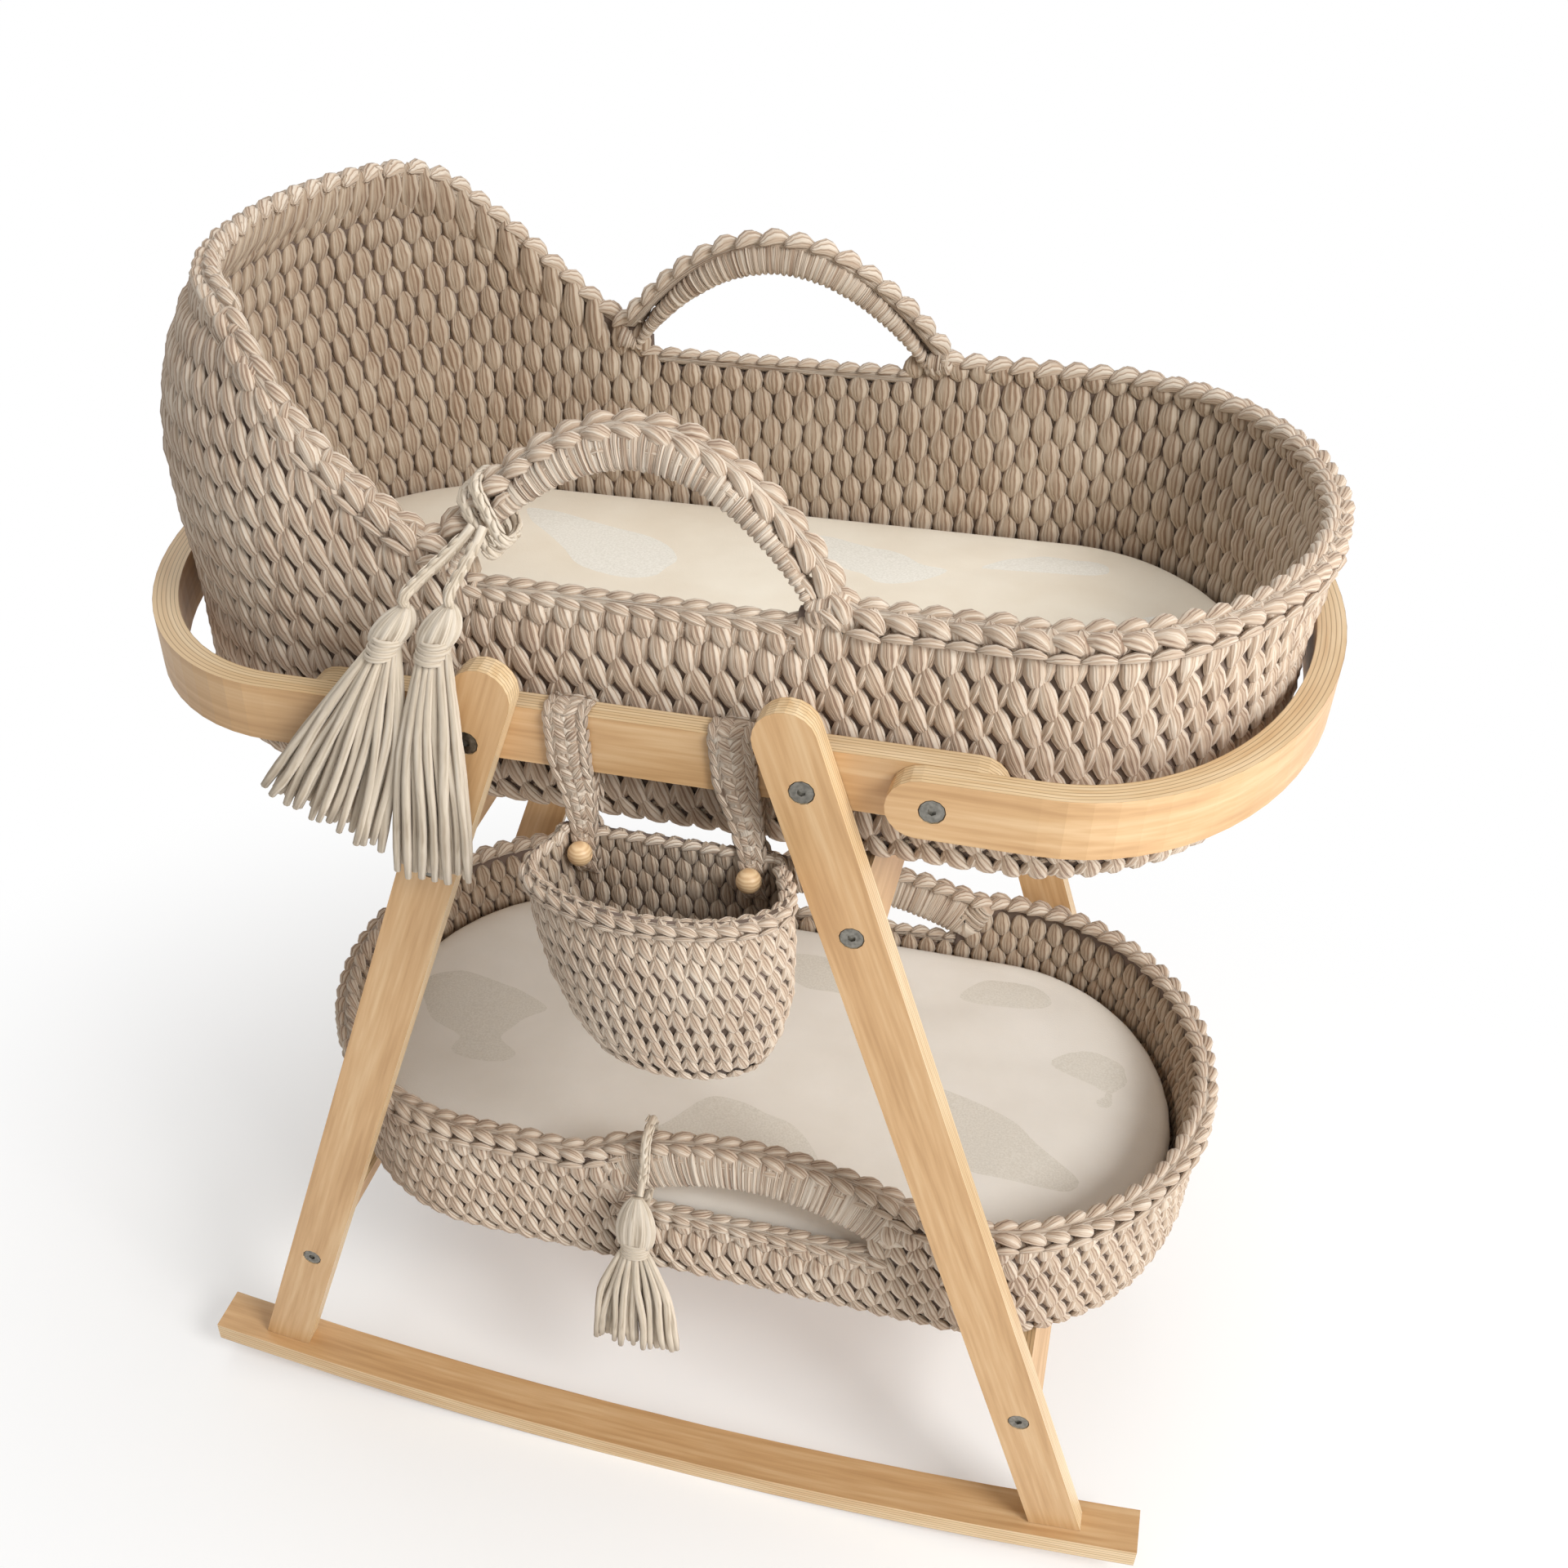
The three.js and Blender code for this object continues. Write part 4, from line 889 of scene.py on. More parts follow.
def wrapped_handle(basket, name, side):
    line = bar_line(basket)
    chance = random.Random(3)
    path = even_path([point for point, _ in line], WRAP / 3, False)
    xs = [point.x for point, _ in line]
    halves = []
    for point in path:
        point.y = handle_y(basket, side, point.z)
        after, run = find_between(xs, point.x)
        halves.append(mix(line[after - 1][1], line[after][1], clamp(run)))
    directions = list(path_directions(path, False))
    ridges = [(0.0, 1.0, 1.0)[i % 3] * chance.uniform(0.7, 1.1) for i in range(len(path))]

    def section(i):
        # The bar's height is upright, and its section lies across the path
        swell = (ridges[i] - 0.6) * RIDGE
        reach = halves[i] * abs(directions[i].x) ** 0.5 + swell
        width = HANDLE_THICKNESS / 2 - 1.2 * MM + swell
        return [
            (squared_off(math.cos(a), 0.7) * width, squared_off(math.sin(a), 0.7) * reach) for a in angles(14)
        ]

    bm = new_mesh_builder()
    add_tube(bm, path, section, yarn=(1.2, 1 / WRAP))
    # The yarn runs round the bar, so its map is turned, and it is stretched to the wrap's own folds
    yarn_map = bm.loops.layers.uv.verify()
    for face in bm.faces:
        for loop in face.loops:
            around, along = loop[yarn_map].uv
            loop[yarn_map].uv = (along * 0.35, around * 2.0)
    finish_crochet(basket, f"handle_{name}_wrap", bm, outside_yarn, f"handle_{name}")


for basket in (upper, lower):
    wrapped_handle(basket, "front", -1)
    wrapped_handle(basket, "rear", 1)

# %% [markdown]
# ## Tassels and their cords
# A tassel is a bunch of rolled cotton tape. Folded strands make its head, a few turns of tape hold its
# neck, and below it the loose ends fan out. Each strand is its own tube, so the fan has real depth.

# %% Tassel forms
def local(x, y, z):
    """A point that is given in millimetres from the stand's middle."""
    return Vector((x * MM, MIDDLE_Y + y * MM, z * MM))


TASSELS = {
    "upper_tassel_a": SimpleNamespace(
        top=(-134, 791), wrap=(-147, 768), mid=(-172, 706), foot=(-203, 633), head=12.5, neck=11, spread=41,
        slope=-0.45, head_y=-243.2, skirt_y=-257.3, depth=9.5, strands=32,
    ),
    "upper_tassel_b": SimpleNamespace(
        top=(-106, 795), wrap=(-116, 770), mid=(-122, 702), foot=(-129, 604), head=12.5, neck=11, spread=25,
        slope=0.0, head_y=-243.2, skirt_y=-257.3, depth=9.5, strands=25,
    ),
    "lower_tassel": SimpleNamespace(
        top=(-13, 291), wrap=(-16, 234), mid=(-17, 176), foot=(-18, 110), head=15.5, neck=13, spread=38,
        slope=0.0, head_y=-216.9, skirt_y=-216.9, depth=7, strands=26, tie=-43,
    ),
}


def through(a, b, c, t, bend=0.45):
    """A smooth line from a to c that passes b at a share of the way."""
    if t < bend:
        low = t / bend
        return a * (1 - low) * (1 - low * 0.5) + b * low * (1.5 - low * 0.5)
    high = (t - bend) / (1 - bend)
    return b * (1 - high) + c * high


def add_strand(bm, points, width, chance):
    """One rolled tape through a few points, a little uneven along its length."""
    wobble = [chance.uniform(0.92, 1.08) * mix(0.72, 1.0, min(1.0, i / 3)) for i in range(len(points))]

    def section(i):
        end = 0.75 if i in (0, len(points) - 1) else 1.0
        return round_section(width * wobble[i] * end, 6, 0.8)(i)

    add_tube(bm, points, section, side_hint=Vector((1, 0.2, 0)), yarn=(1.0, 25.0))


def tassel_strands(bm, form, neck_y, neck_z, chance):
    """The loose ends, in three layers that spread from the neck to a ragged foot."""
    for i in range(form.strands):
        layer = (i % 3) - 1
        u = -1 + 2 * (i + 0.5) / form.strands
        round_off = math.sqrt(max(0.0, 1 - (u * 0.8) ** 2))
        y = form.depth * (0.66 * layer + chance.uniform(-0.25, 0.25)) * round_off
        start = local(form.wrap[0] + u * form.neck * 0.75, neck_y + y * 0.5, neck_z + 4)
        middle_x = form.mid[0] + u * form.spread * 0.8 + chance.uniform(-1.2, 1.2)
        middle = local(middle_x, form.skirt_y + y, form.mid[1])
        foot_x = u * form.spread * 0.96 + chance.uniform(-2.4, 2.4)
        foot_z = form.foot[1] + form.slope * foot_x + chance.uniform(1, 9)
        end = local(form.foot[0] + foot_x, form.skirt_y + y + chance.uniform(-1, 1), foot_z)
        sway = chance.uniform(-2.6, 2.6) * MM
        points = []
        for k in range(10):
            t = k / 9
            point = through(start, middle, end, t)
            point.x += sway * math.sin(math.pi * 2 * t)
            points.append(point)
        add_strand(bm, smooth_path(points, False, 2), chance.uniform(2.7, 3.5) * MM, chance)


def tassel_head(bm, form, neck_y, neck_z):
    """The folded strands above the neck, as one egg-shaped skin with a lobe for each strand."""
    lobes = 11
    rows = []
    for k in range(9):
        t = k / 8
        z = mix(neck_z + form.neck * 0.6, form.top[1], t)
        x = mix(form.wrap[0], form.top[0], t)
        y = mix(neck_y, form.head_y, t)
        swell = math.sin(math.pi * (0.28 + 0.68 * t)) ** 0.6
        ring = []
        for a in angles(4 * lobes):
            size = swell * (1 + 0.07 * math.cos(lobes * a))
            across, deep = math.cos(a) * form.head * size, math.sin(a) * form.depth * 0.95 * size
            ring.append(local(x + across, y + deep, z))
        rows.append(ring)
    add_loft(bm, rows, yarn=(float(lobes), [k * 0.3 for k in range(9)]))


def tassel_neck(bm, form, neck_y, chance):
    """Four turns of tape that follow the head's slant."""
    slant = (form.top[0] - form.wrap[0]) / (form.top[1] - form.wrap[1])
    across, deep = form.neck * 0.82, min(form.depth * 0.9, form.neck)
    for turn_number in range(4):
        rise = (turn_number - 2.1) * 3.8
        tilt = chance.uniform(-0.1, 0.1)
        centre = local(form.wrap[0] + rise * slant, neck_y, form.wrap[1] + rise)
        ring = [
            centre + Vector((math.cos(a) * across, math.sin(a) * deep, math.cos(a) * across * tilt)) * MM
            for a in angles(18)
        ]
        tape = round_section(2.3 * MM, 8, 0.6)
        add_tube(bm, ring, tape, True, side_hint=Vector((0, 0, 1)), yarn=(1.0, 30.0))


def tassel(name):
    form = TASSELS[name]
    chance = random.Random(len(name) + form.strands)
    bm = new_mesh_builder()
    neck_y = mix(form.head_y, form.skirt_y, 0.4)
    neck_z = form.wrap[1] - form.neck / 2
    tassel_strands(bm, form, neck_y, neck_z, chance)
    tassel_head(bm, form, neck_y, neck_z)
    tassel_neck(bm, form, neck_y, chance)
    finish_piece(name + "_strands", bm, pale_yarn, name, "tassel_cotton", name)


# %% [markdown]
# Each tassel hangs from a crochet chain. The chain's round core is the cord itself, and the loops that
# show along it are a piece of their own.

# %% Cords
CORD = 3 * MM
TIE_X = -100 * MM


def spline(points, steps=8):
    """A smooth curve through points, with even steps between each two."""
    ends = [points[0] * 2 - points[1]] + points + [points[-1] * 2 - points[-2]]
    path = []
    for a, b, c, d in zip(ends, ends[1:], ends[2:], ends[3:]):
        for k in range(steps):
            t = k / steps
            bend, twist = 2 * a - 5 * b + 4 * c - d, 3 * b - a - 3 * c + d
            path.append(0.5 * (2 * b + (c - a) * t + bend * t**2 + twist * t**3))
    return path + [points[-1]]


def chained_cord(name, path, body, node, closed=False):
    """A crochet chain in two pieces. It returns the core, the core's path and the loops."""
    bm, loops = new_mesh_builder(), new_mesh_builder()
    path = even_path(path, 2.2 * MM, closed)
    middle = sum(path, Vector()) / len(path)
    add_tube(bm, path, round_section(CORD, 10), closed, side_hint=Vector((1, 0.1, 0.05)), yarn=(2.0, 60.0))

    def face(point, along):
        return (point - middle).normalized() if closed else Vector((0, -1, 0.2))

    # An open chain's first loops are left out, so that chains that start side by side don't meet
    add_braid(loops, path if closed else path[6:], closed, CORD * 1.25, 9 * MM, face)
    cord = finish_piece(name, bm, pale_yarn, body, "tassel_cotton", node)
    return cord, path, finish_piece(name + "_loops", loops, pale_yarn, body, "tassel_cotton", node)


def declare_cord(cord, path, loops):
    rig.cord(
        cord, exit=path[0], length=running_lengths(path)[-1], diameter=2 * CORD, far_end="object",
        stiffness="limp", lay="hanging", path=path, with_pieces=[loops],
    )


def handle_turn(basket, x, start, stop, count=25):
    """A cord's way round a handle: angle 0 is in front of it, and a quarter turn is above."""
    off = x - basket.handle_x
    top = basket.rim + basket.rise * bow(off / HANDLE_SPAN)
    under = basket.opening + OVER_OPENING + basket.arch * bow(off / HANDLE_INNER_SPAN)
    beside = HANDLE_THICKNESS / 2 + CORD + 1.2 * MM
    above = (top - under) / 2 + 2 * CORD
    path = []
    for k in range(count):
        angle = mix(start, stop, k / (count - 1))
        z = (top + under) / 2 + above * squared_off(math.sin(angle), 0.45)
        y = handle_y(basket, -1, z) - beside * squared_off(math.cos(angle), 0.45)
        path.append(Vector((basket.x + x, y, z)))
    return path


# %% The upper tie, its tassels and the lower tassel
tie_path = handle_turn(upper, TIE_X, 0, 2 * math.pi, 33)[:-1]
tie_middle = sum(tie_path, Vector()) / len(tie_path)
for number, aside in enumerate((-4 * MM, 4 * MM)):
    # The two turns lie beside each other, and slant to the foot end as they come down in front
    slanted = []
    for p in tie_path:
        x = p.x + aside - 0.4 * (p.z - tie_middle.z)
        slanted.append(Vector((x, p.y, mix(tie_middle.z, p.z, 0.5) + aside)))
    turn_path = smooth_path(slanted, True, 1)
    chained_cord(f"upper_tie_turn_{number}", turn_path, "upper_basket", "upper_tassel_tie", closed=True)
for letter, side in (("a", -1), ("b", 1)):
    body = f"upper_tassel_{letter}"
    form = TASSELS[body]
    gap = 0.3 * MM
    start = Vector((TIE_X + side * (CORD + gap), tie_path[0].y - 2 * CORD + gap, tie_path[0].z))
    goal = local(form.top[0], form.head_y, form.top[1])
    path = spline([start, start.lerp(goal, 0.3), goal + Vector((0, 0, 6 * MM)), goal + Vector((0, 0, gap))])
    tassel(body)
    declare_cord(*chained_cord(f"upper_cord_{letter}", path, body, f"upper_tassel_cord_{letter}"))

tassel("lower_tassel")
form = TASSELS["lower_tassel"]
loop = handle_turn(lower, form.tie * MM, 0, 1.515 * math.pi)
start = local(32 + form.tie, form.head_y, 293.1)
cord, path, loops = chained_cord("lower_loop_cord", [start] + loop, "lower_basket", "lower_tassel_cord")
declare_cord(cord, path[::-1], loops)

# %% [markdown]
# ## Pocket basket
# The small pocket is crocheted more finely. Its plan has a flat back, and its rings shrink towards a
# rounded bottom that hangs a little to the foot end.

# %% Pocket surface
SLACK = 0.3
STRAP_HALF = 1.6
RAIL_TOP = 721.5
RAIL_BACK = 208.4
RAIL_FACE = 226.4
POCKET_X = 24
POCKET_TOP = 645
POCKET_DEPTH = 143
POCKET_LENGTH = 84
POCKET_WIDTH = 44
POCKET_DRIFT = 15
POCKET_BACK = -(RAIL_FACE + SLACK + STRAP_HALF)
POCKET_MIDDLE = POCKET_BACK - POCKET_WIDTH
POCKET_PITCH = 10.8 * MM
POCKET_ROW = 14.0 * MM
OUTSIDE_INSET = 2.6
INSIDE_INSET = 5.2
BACK_HALF = [(0.3, 1), (0.87, 1), (0.885, 0.96), (0.885, 0.6), (0.96, 0.35)]
POCKET_PLAN = BACK_HALF[::-1] + [(-u, v) for u, v in BACK_HALF]
POCKET_PLAN += [(math.cos(math.pi * (1 + i / 28)), math.sin(math.pi * (1 + i / 28))) for i in range(29)]
# Drop, and the ring's length and width, as shares of the pocket's depth and rim
POCKET_PROFILE = [
    (0, 1, 1), (0.28, 1, 1), (0.55, 0.94, 0.97), (0.78, 0.82, 0.87), (0.92, 0.67, 0.72), (0.985, 0.46, 0.5),
    (1, 0.05, 0.05),
]
POCKET_DROPS = [row[0] for row in POCKET_PROFILE]


def pocket_ring(drop, inset, rise=0.0):
    after, run = find_between(POCKET_DROPS, drop)
    low, high = POCKET_PROFILE[after - 1], POCKET_PROFILE[after]
    half_length = POCKET_LENGTH * mix(low[1], high[1], clamp(run)) - inset
    half_width = POCKET_WIDTH * mix(low[2], high[2], clamp(run)) - inset
    middle_x = POCKET_X + POCKET_DRIFT * drop
    middle_y = min(POCKET_MIDDLE, POCKET_BACK - half_width - inset)
    return [
        local(middle_x + half_length * u, middle_y + half_width * v, POCKET_TOP - POCKET_DEPTH * drop + rise)
        for u, v in POCKET_PLAN
    ]


def ring_places(rings, depth, chance, shift, inward):
    """Stitch places on the middle one of three rings, of which the others lie above and below it."""
    above, ring, below = rings
    lengths = running_lengths(ring + ring[:1])
    round_way = lengths[-1]
    count = max(6, round(round_way / POCKET_PITCH))

    def at(points, way):
        after, run = find_between(lengths, way % round_way)
        return points[after - 1].lerp(points[after % len(points)], run)

    for i in range(count):
        way = (i + shift) * round_way / count
        along = (at(ring, way + 2 * MM) - at(ring, way - 2 * MM)).normalized() * (-1 if inward else 1)
        up = (at(above, way) - at(below, way)).normalized()
        out = along.cross(up).normalized()
        width = round_way / count * chance.uniform(0.93, 1.07)
        deep = depth * chance.uniform(0.9, 1.1)
        yield axes_matrix(at(ring, way), along * width, out.cross(along) * POCKET_ROW, out * deep)


def profile_drops():
    """Drops at even distances along the pocket's side, from its rim to the middle of its bottom."""
    fine = [i / 200 for i in range(201)]
    side = []
    for drop in fine:
        ring = pocket_ring(drop, 0)
        side.append(Vector((ring[24].y, ring[-1].z)))
    lengths = running_lengths(side)
    drops = []
    way = POCKET_ROW * 0.5
    while way < lengths[-1] - POCKET_ROW * 0.3:
        drops.append(fine[min(bisect.bisect_left(lengths, way), 200)])
        way += POCKET_ROW
    return drops


# %% Pocket
def stitched_pocket():
    chance = random.Random(21)
    ground, outside, inside, rim = (new_mesh_builder() for _ in range(4))
    steps = [0, 0.1, 0.28, 0.42, 0.55, 0.68, 0.78, 0.86, 0.92, 0.96, 0.985]
    rows = [pocket_ring(drop, 3.0, 1.0) for drop in reversed(steps)]
    rows += [pocket_ring(drop, 4.7, 5.0 * (drop > 0.6)) for drop in steps]
    add_loft(ground, rows)
    for number, drop in enumerate(profile_drops()):
        low, high = max(drop - 0.04, 0), min(drop + 0.04, 1)
        near_rim = drop < 0.06
        around = (0.02, 0.06, 0.1) if near_rim else (low, drop, high)
        rings = [pocket_ring(d, OUTSIDE_INSET) for d in around]
        add_copies(outside, v_mesh, ring_places(rings, 4.2 * MM, chance, -0.3 * number, False))
        if drop < 0.9:
            rings = [pocket_ring(d, INSIDE_INSET) for d in (low, max(drop, 0.05), high)]
            add_copies(inside, grain_mesh, ring_places(rings, 3.4 * MM, chance, number / 2, True))
    path = smooth_path(even_path(pocket_ring(0, 3.5, -4.0), 3 * MM, True), True, 3)
    middle = local(POCKET_X, -271, 640)

    def rim_face(point, along):
        return Vector((0, 0, 1)) + (point - middle).normalized() * 0.5

    add_tube(rim, even_path(path, 8 * MM, True), round_section(3.0 * MM, 8), True, yarn=(3.0, 60.0))
    add_braid(rim, path, True, 6.4 * MM, 12.0 * MM, rim_face)
    # The pocket's ground takes the dark ground yarn, which is painted shade in the gaps between its stitches.
    for name, bm, yarn in (
        ("ground", ground, gap_shade_yarn), ("outside", outside, outside_yarn), ("inside", inside, shaded_inside_yarn),
        ("rim_braid", rim, outside_yarn),
    ):
        finish_piece(f"pocket_{name}", bm, yarn, "pocket", "crochet_cotton", "pocket_basket")


stitched_pocket()

# %% [markdown]
# ## Straps and beads
# Each strap is a narrow crochet band. It goes up from inside the pocket, over the rail and down behind
# it. Its edges are chains along the band, and the stitches between them lie across it.

# %% Straps
STRAP_ROW = 9.0 * MM
STRAP_WIDE = 15.0
STRAP_NARROW = 7.5
BEHIND_Y = -(RAIL_BACK - SLACK - STRAP_HALF)
INSIDE_Y = POCKET_BACK - 7 - SLACK - STRAP_HALF
OUTSIDE_Y = POCKET_BACK + SLACK + STRAP_HALF
OVER_Z = RAIL_TOP + SLACK + STRAP_HALF
STRAP_LINE = [
    (INSIDE_Y, 614), (INSIDE_Y, 640), (INSIDE_Y + 2, 652), (POCKET_BACK - 2, 664), (POCKET_BACK, 674),
    (POCKET_BACK, 720), (POCKET_BACK + 1.4, OVER_Z), (BEHIND_Y - 1.4, OVER_Z), (BEHIND_Y, 720),
    (BEHIND_Y, 684), (BEHIND_Y - 2, 676), (OUTSIDE_Y + 2, 652), (OUTSIDE_Y, 646), (OUTSIDE_Y, 614),
]


def crochet_strap(name, rail_x, lean):
    chance = random.Random(31)
    flat = even_path([Vector((0, y, z)) for y, z in STRAP_LINE], 1.5, False)
    flat = even_path(smooth_path(flat, False, 2), STRAP_ROW / MM / 2, False)
    line, sides = [], []
    # The strap is narrow inside the pocket and widens above its rim
    for point in flat:
        half = mix(STRAP_NARROW, STRAP_WIDE, clamp((point.z - 647) / 40))
        line.append(local(rail_x + lean * (OVER_Z - point.z) + (STRAP_WIDE - half), point.y, point.z))
        sides.append(half * MM)

    def band(i):
        half, thick = sides[i] * 0.9, 0.7 * MM
        return [(half, -thick), (half, thick), (-half, thick), (-half, -thick)]

    bm = new_mesh_builder()
    add_tube(bm, line, band, side_hint=Vector((1, 0, 0)), yarn=(2.0, 60.0))
    directions = list(path_directions(line, False))
    for i in range(1, len(line) - 1, 2):
        along = directions[i]
        across = Vector((1, 0, 0))
        across = (across - along * across.dot(along)).normalized()
        face = across.cross(along)
        for column in (-1.0, -0.36, 0.36, 1.0):
            point = line[i] + across * sides[i] * column * 0.72
            size = chance.uniform(0.93, 1.07)
            if abs(column) == 1.0:
                place = axes_matrix(point, across * 6.2 * MM, along * STRAP_ROW * size, face * 3.4 * MM)
                add_copies(bm, v_mesh, [place])
            else:
                tilt = Matrix.Rotation(-0.9 if column > 0 else 0.9, 3, face)
                width = 9.5 * MM if sides[i] > 12 * MM else 6.5 * MM
                across_axis = tilt @ across * 8.0 * MM * size
                place = axes_matrix(point, across_axis, tilt @ along * width, face * 3.6 * MM)
                add_copies(bm, grain_mesh, [place])
    finish_piece(name + "_crochet", bm, outside_yarn, "pocket", "crochet_cotton", name)


crochet_strap("pocket_strap_head", -46, 0.06)
crochet_strap("pocket_strap_foot", 57, 0.12)

# %% [markdown]
# The beads are turned from a pale wood. They are smooth with a soft gloss, and the grain shows as faint
# level bands.

# %% Wooden beads
bead_wood, tree, shader = new_material("turned_pale_wood", {"Roughness": 0.45})
spot = add_node(tree, "TexCoord").outputs["Object"]
rings = add_node(
    tree, "TexWave", {"Vector": spot, "Scale": 140.0, "Distortion": 3.0, "Detail": 2.0},
    wave_type="BANDS", bands_direction="Z",
).outputs["Fac"]
tone = add_node(tree, "ValToRGB", {"Fac": rings}, [(0.0, "#D6B083"), (1.0, "#EACB9F")])
set_inputs(shader, {"Base Color": tone})
# The hole's radius as a share of the bead's
HOLE = 0.2


def wooden_bead(node):
    """A turned bead with a drilled hole, made by spinning its half section round the hole."""
    low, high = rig.box(node)
    radius = (high.x - low.x) / 2
    points = []
    for k in range(13):
        a = mix(-1, 1, k / 12) * math.acos(HOLE)
        points.append(Vector((math.sin(a), 0, math.cos(a))) * radius)
    points += [Vector((0.9 * math.sqrt(1 - HOLE**2) * side, 0, HOLE * 0.9)) * radius for side in (1, -1)]
    bm = new_mesh_builder()
    verts = [bm.verts.new(point) for point in points]
    edges = [bm.edges.new((a, b)) for a, b in zip(verts, verts[1:] + verts[:1])]
    bmesh.ops.spin(
        bm, geom=verts + edges, cent=(0, 0, 0), axis=(1, 0, 0), angle=2 * math.pi, steps=32, use_merge=True
    )
    bmesh.ops.remove_doubles(bm, verts=bm.verts, dist=0.01 * MM)
    bmesh.ops.recalc_face_normals(bm, faces=bm.faces)
    bmesh.ops.translate(bm, verts=bm.verts, vec=(low + high) / 2)
    finish_piece(node + "_turned", bm, bead_wood, "pocket", "bead_wood", node)


for end in ("head", "foot"):
    wooden_bead(f"pocket_bead_{end}")

# %% [markdown]
# ## Mattresses
# Each mattress is a foam pad in a thin cotton cover. It is firm, yet its faces swell between the edges,
# so a plain form is made a little small, remeshed evenly, and blown up by a short cloth simulation.

# %% Mattress forms
BOARD = 6.3 * MM
PAD_INSET = WALL + 1.6 * MM
PAD_ROUND = 12 * MM
CROWN = 5 * MM


def plan_ring(basket, inset, z, share=1.0, count=96):
    """One ring of the basket's plan, drawn in by an inset and shrunk to a share of its size."""
    ring = []
    for i in range(count):
        x, c, s = station_at(basket, i / count)
        along = share * (x + (basket.end - inset) * c)
        ring.append(Vector((basket.x + along, MIDDLE_Y + share * (basket.half - inset) * s, z)))
    return ring


def pad_rows(basket, smaller):
    """Rings from the middle of a pad's underside, round its edge, to the middle of its crown."""
    bottom = basket.floor + BOARD + smaller
    top = basket.pad_edge - smaller
    inset = PAD_INSET + smaller
    rows = [plan_ring(basket, inset + 9 * MM, bottom, share) for share in (0.02, 0.3, 0.6, 0.9)]
    for extra, rise in ((9, 0.0), (5, 0.12), (2.2, 0.3), (0, 0.62), (2, 0.86), (5.5, 0.96), (12, 1.0)):
        rows.append(plan_ring(basket, inset + extra * MM, mix(bottom, top, rise)))
    for share, crown in ((0.9, 0.35), (0.7, 0.72), (0.4, 0.93), (0.02, 1.0)):
        rows.append(plan_ring(basket, inset + PAD_ROUND, top + CROWN * crown, share))
    return rows


def blow_up(piece, voxel, reach):
    """Remeshes a closed form and swells it with cloth pressure, no point going further than its reach."""
    bpy.context.view_layer.objects.active = piece
    remesh = piece.modifiers.new("even", "REMESH")
    remesh.mode = "VOXEL"
    remesh.voxel_size = voxel
    bpy.ops.object.modifier_apply(modifier=remesh.name)
    before = [vert.co.copy() for vert in piece.data.vertices]
    cloth = piece.modifiers.new("swell", "CLOTH")
    cloth.settings.use_pressure = True
    cloth.settings.uniform_pressure_force = 4.0
    cloth.settings.effector_weights.gravity = 0
    cloth.settings.quality = 4
    for number in range(1, 21):
        bpy.context.scene.frame_set(number)
    bpy.ops.object.modifier_apply(modifier=cloth.name)
    bpy.context.scene.frame_set(1)
    for vert, start in zip(piece.data.vertices, before):
        moved = vert.co - start
        if moved.length > reach:
            vert.co = start + moved * (reach / moved.length)
        elif not math.isfinite(moved.length):
            vert.co = start


# %% Mattress pads
def foam_pad(basket):
    name = f"{basket.name}_mattress"
    bm = new_mesh_builder()
    add_loft(bm, pad_rows(basket, 4.0 * MM))
    piece = finish_piece(f"{name}_pad", bm, mattress_cover, name, "mattress_foam", f"{name}_core")
    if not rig.quick():
        blow_up(piece, 6 * MM, 2.2 * MM)
        piece.data.shade_smooth()
        finer = piece.modifiers.new("finer", "SUBSURF")
        finer.levels = finer.render_levels = 1
        print(piece.name, "has", len(piece.data.polygons), "faces after the simulation")
    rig.padded(piece, fill=0.9)
    return piece


mattress_cover, tree, shader = new_material("mattress_cover_cotton", {"Roughness": 0.9})
_, tone = clouded(tree, 600.0, 2.0, [(0.3, "#DDD8CC"), (0.7, "#ECE8DE")])
set_inputs(shader, {"Base Color": tone})
pads = {basket.name: foam_pad(basket) for basket in (upper, lower)}

# %% [markdown]
# ## Fitted sheets
# The sheet is a thin woven cotton cover, drawn over the pad and tucked under its edge by an elastic
# hem. It is a skin a little outside the pad's form. Its top carries a few shallow folds that run out
# to the edge, and close pleats gather where it turns under.

# %% Sheet material
def woven_cotton(name, darker, lighter):
    material, tree, shader = new_material(
        name, {"Roughness": 0.88, "Sheen Weight": 0.15, "Sheen Roughness": 0.5}
    )
    _, tone = clouded(tree, 14.0, 4.0, [(0.3, darker), (0.7, lighter)])
    # The real threads are about 0.4 mm apart; they are drawn at 1.2 mm, which just shows
    spot = add_node(tree, "TexCoord").outputs["Object"]
    threads = add_node(tree, "TexNoise", {"Vector": spot, "Scale": 830.0, "Detail": 1.0})
    bump = add_node(tree, "Bump", {"Strength": 0.25, "Distance": 0.0006, "Height": threads})
    set_inputs(shader, {"Base Color": tone, "Normal": bump})
    return material


cream_cotton = woven_cotton("washed_cotton_sheet_cream", "#E2D6C2", "#EBE2D1")
# The lower sheet's copy is made lighter than the upper one. This is painted light on the lower sheet, which lies in
# shade under the upper basket.
lit_lower_sheet_cotton = woven_cotton("washed_cotton_sheet_pale", "#EBE6DC", "#F3EFE7")


# %% Fitted sheets
def sheet_folds(basket, point, phase_shift):
    """How far a fold lifts the sheet at a point: shallow waves that run in from the edge."""
    x = (point.x - basket.x) / (basket.straight + basket.end)
    y = (point.y - MIDDLE_Y) / basket.half
    reach = clamp((math.hypot(x, y) - 0.25) / 0.6)
    angle = math.atan2(y, x)
    wave = 0.0
    for count, size, phase in ((5, 0.5, 0.3), (9, 0.4, 1.7), (14, 0.3, 4.1), (23, 0.16, 2.2)):
        wave += size * math.sin(count * angle + phase + phase_shift + 2.2 * math.hypot(x, y * 0.8))
    broad = math.sin(point.x * 21 + 1.3 + phase_shift) * math.sin(point.y * 27 + point.x * 9)
    return (wave * reach * 1.3 + 1.4 * broad) * MM


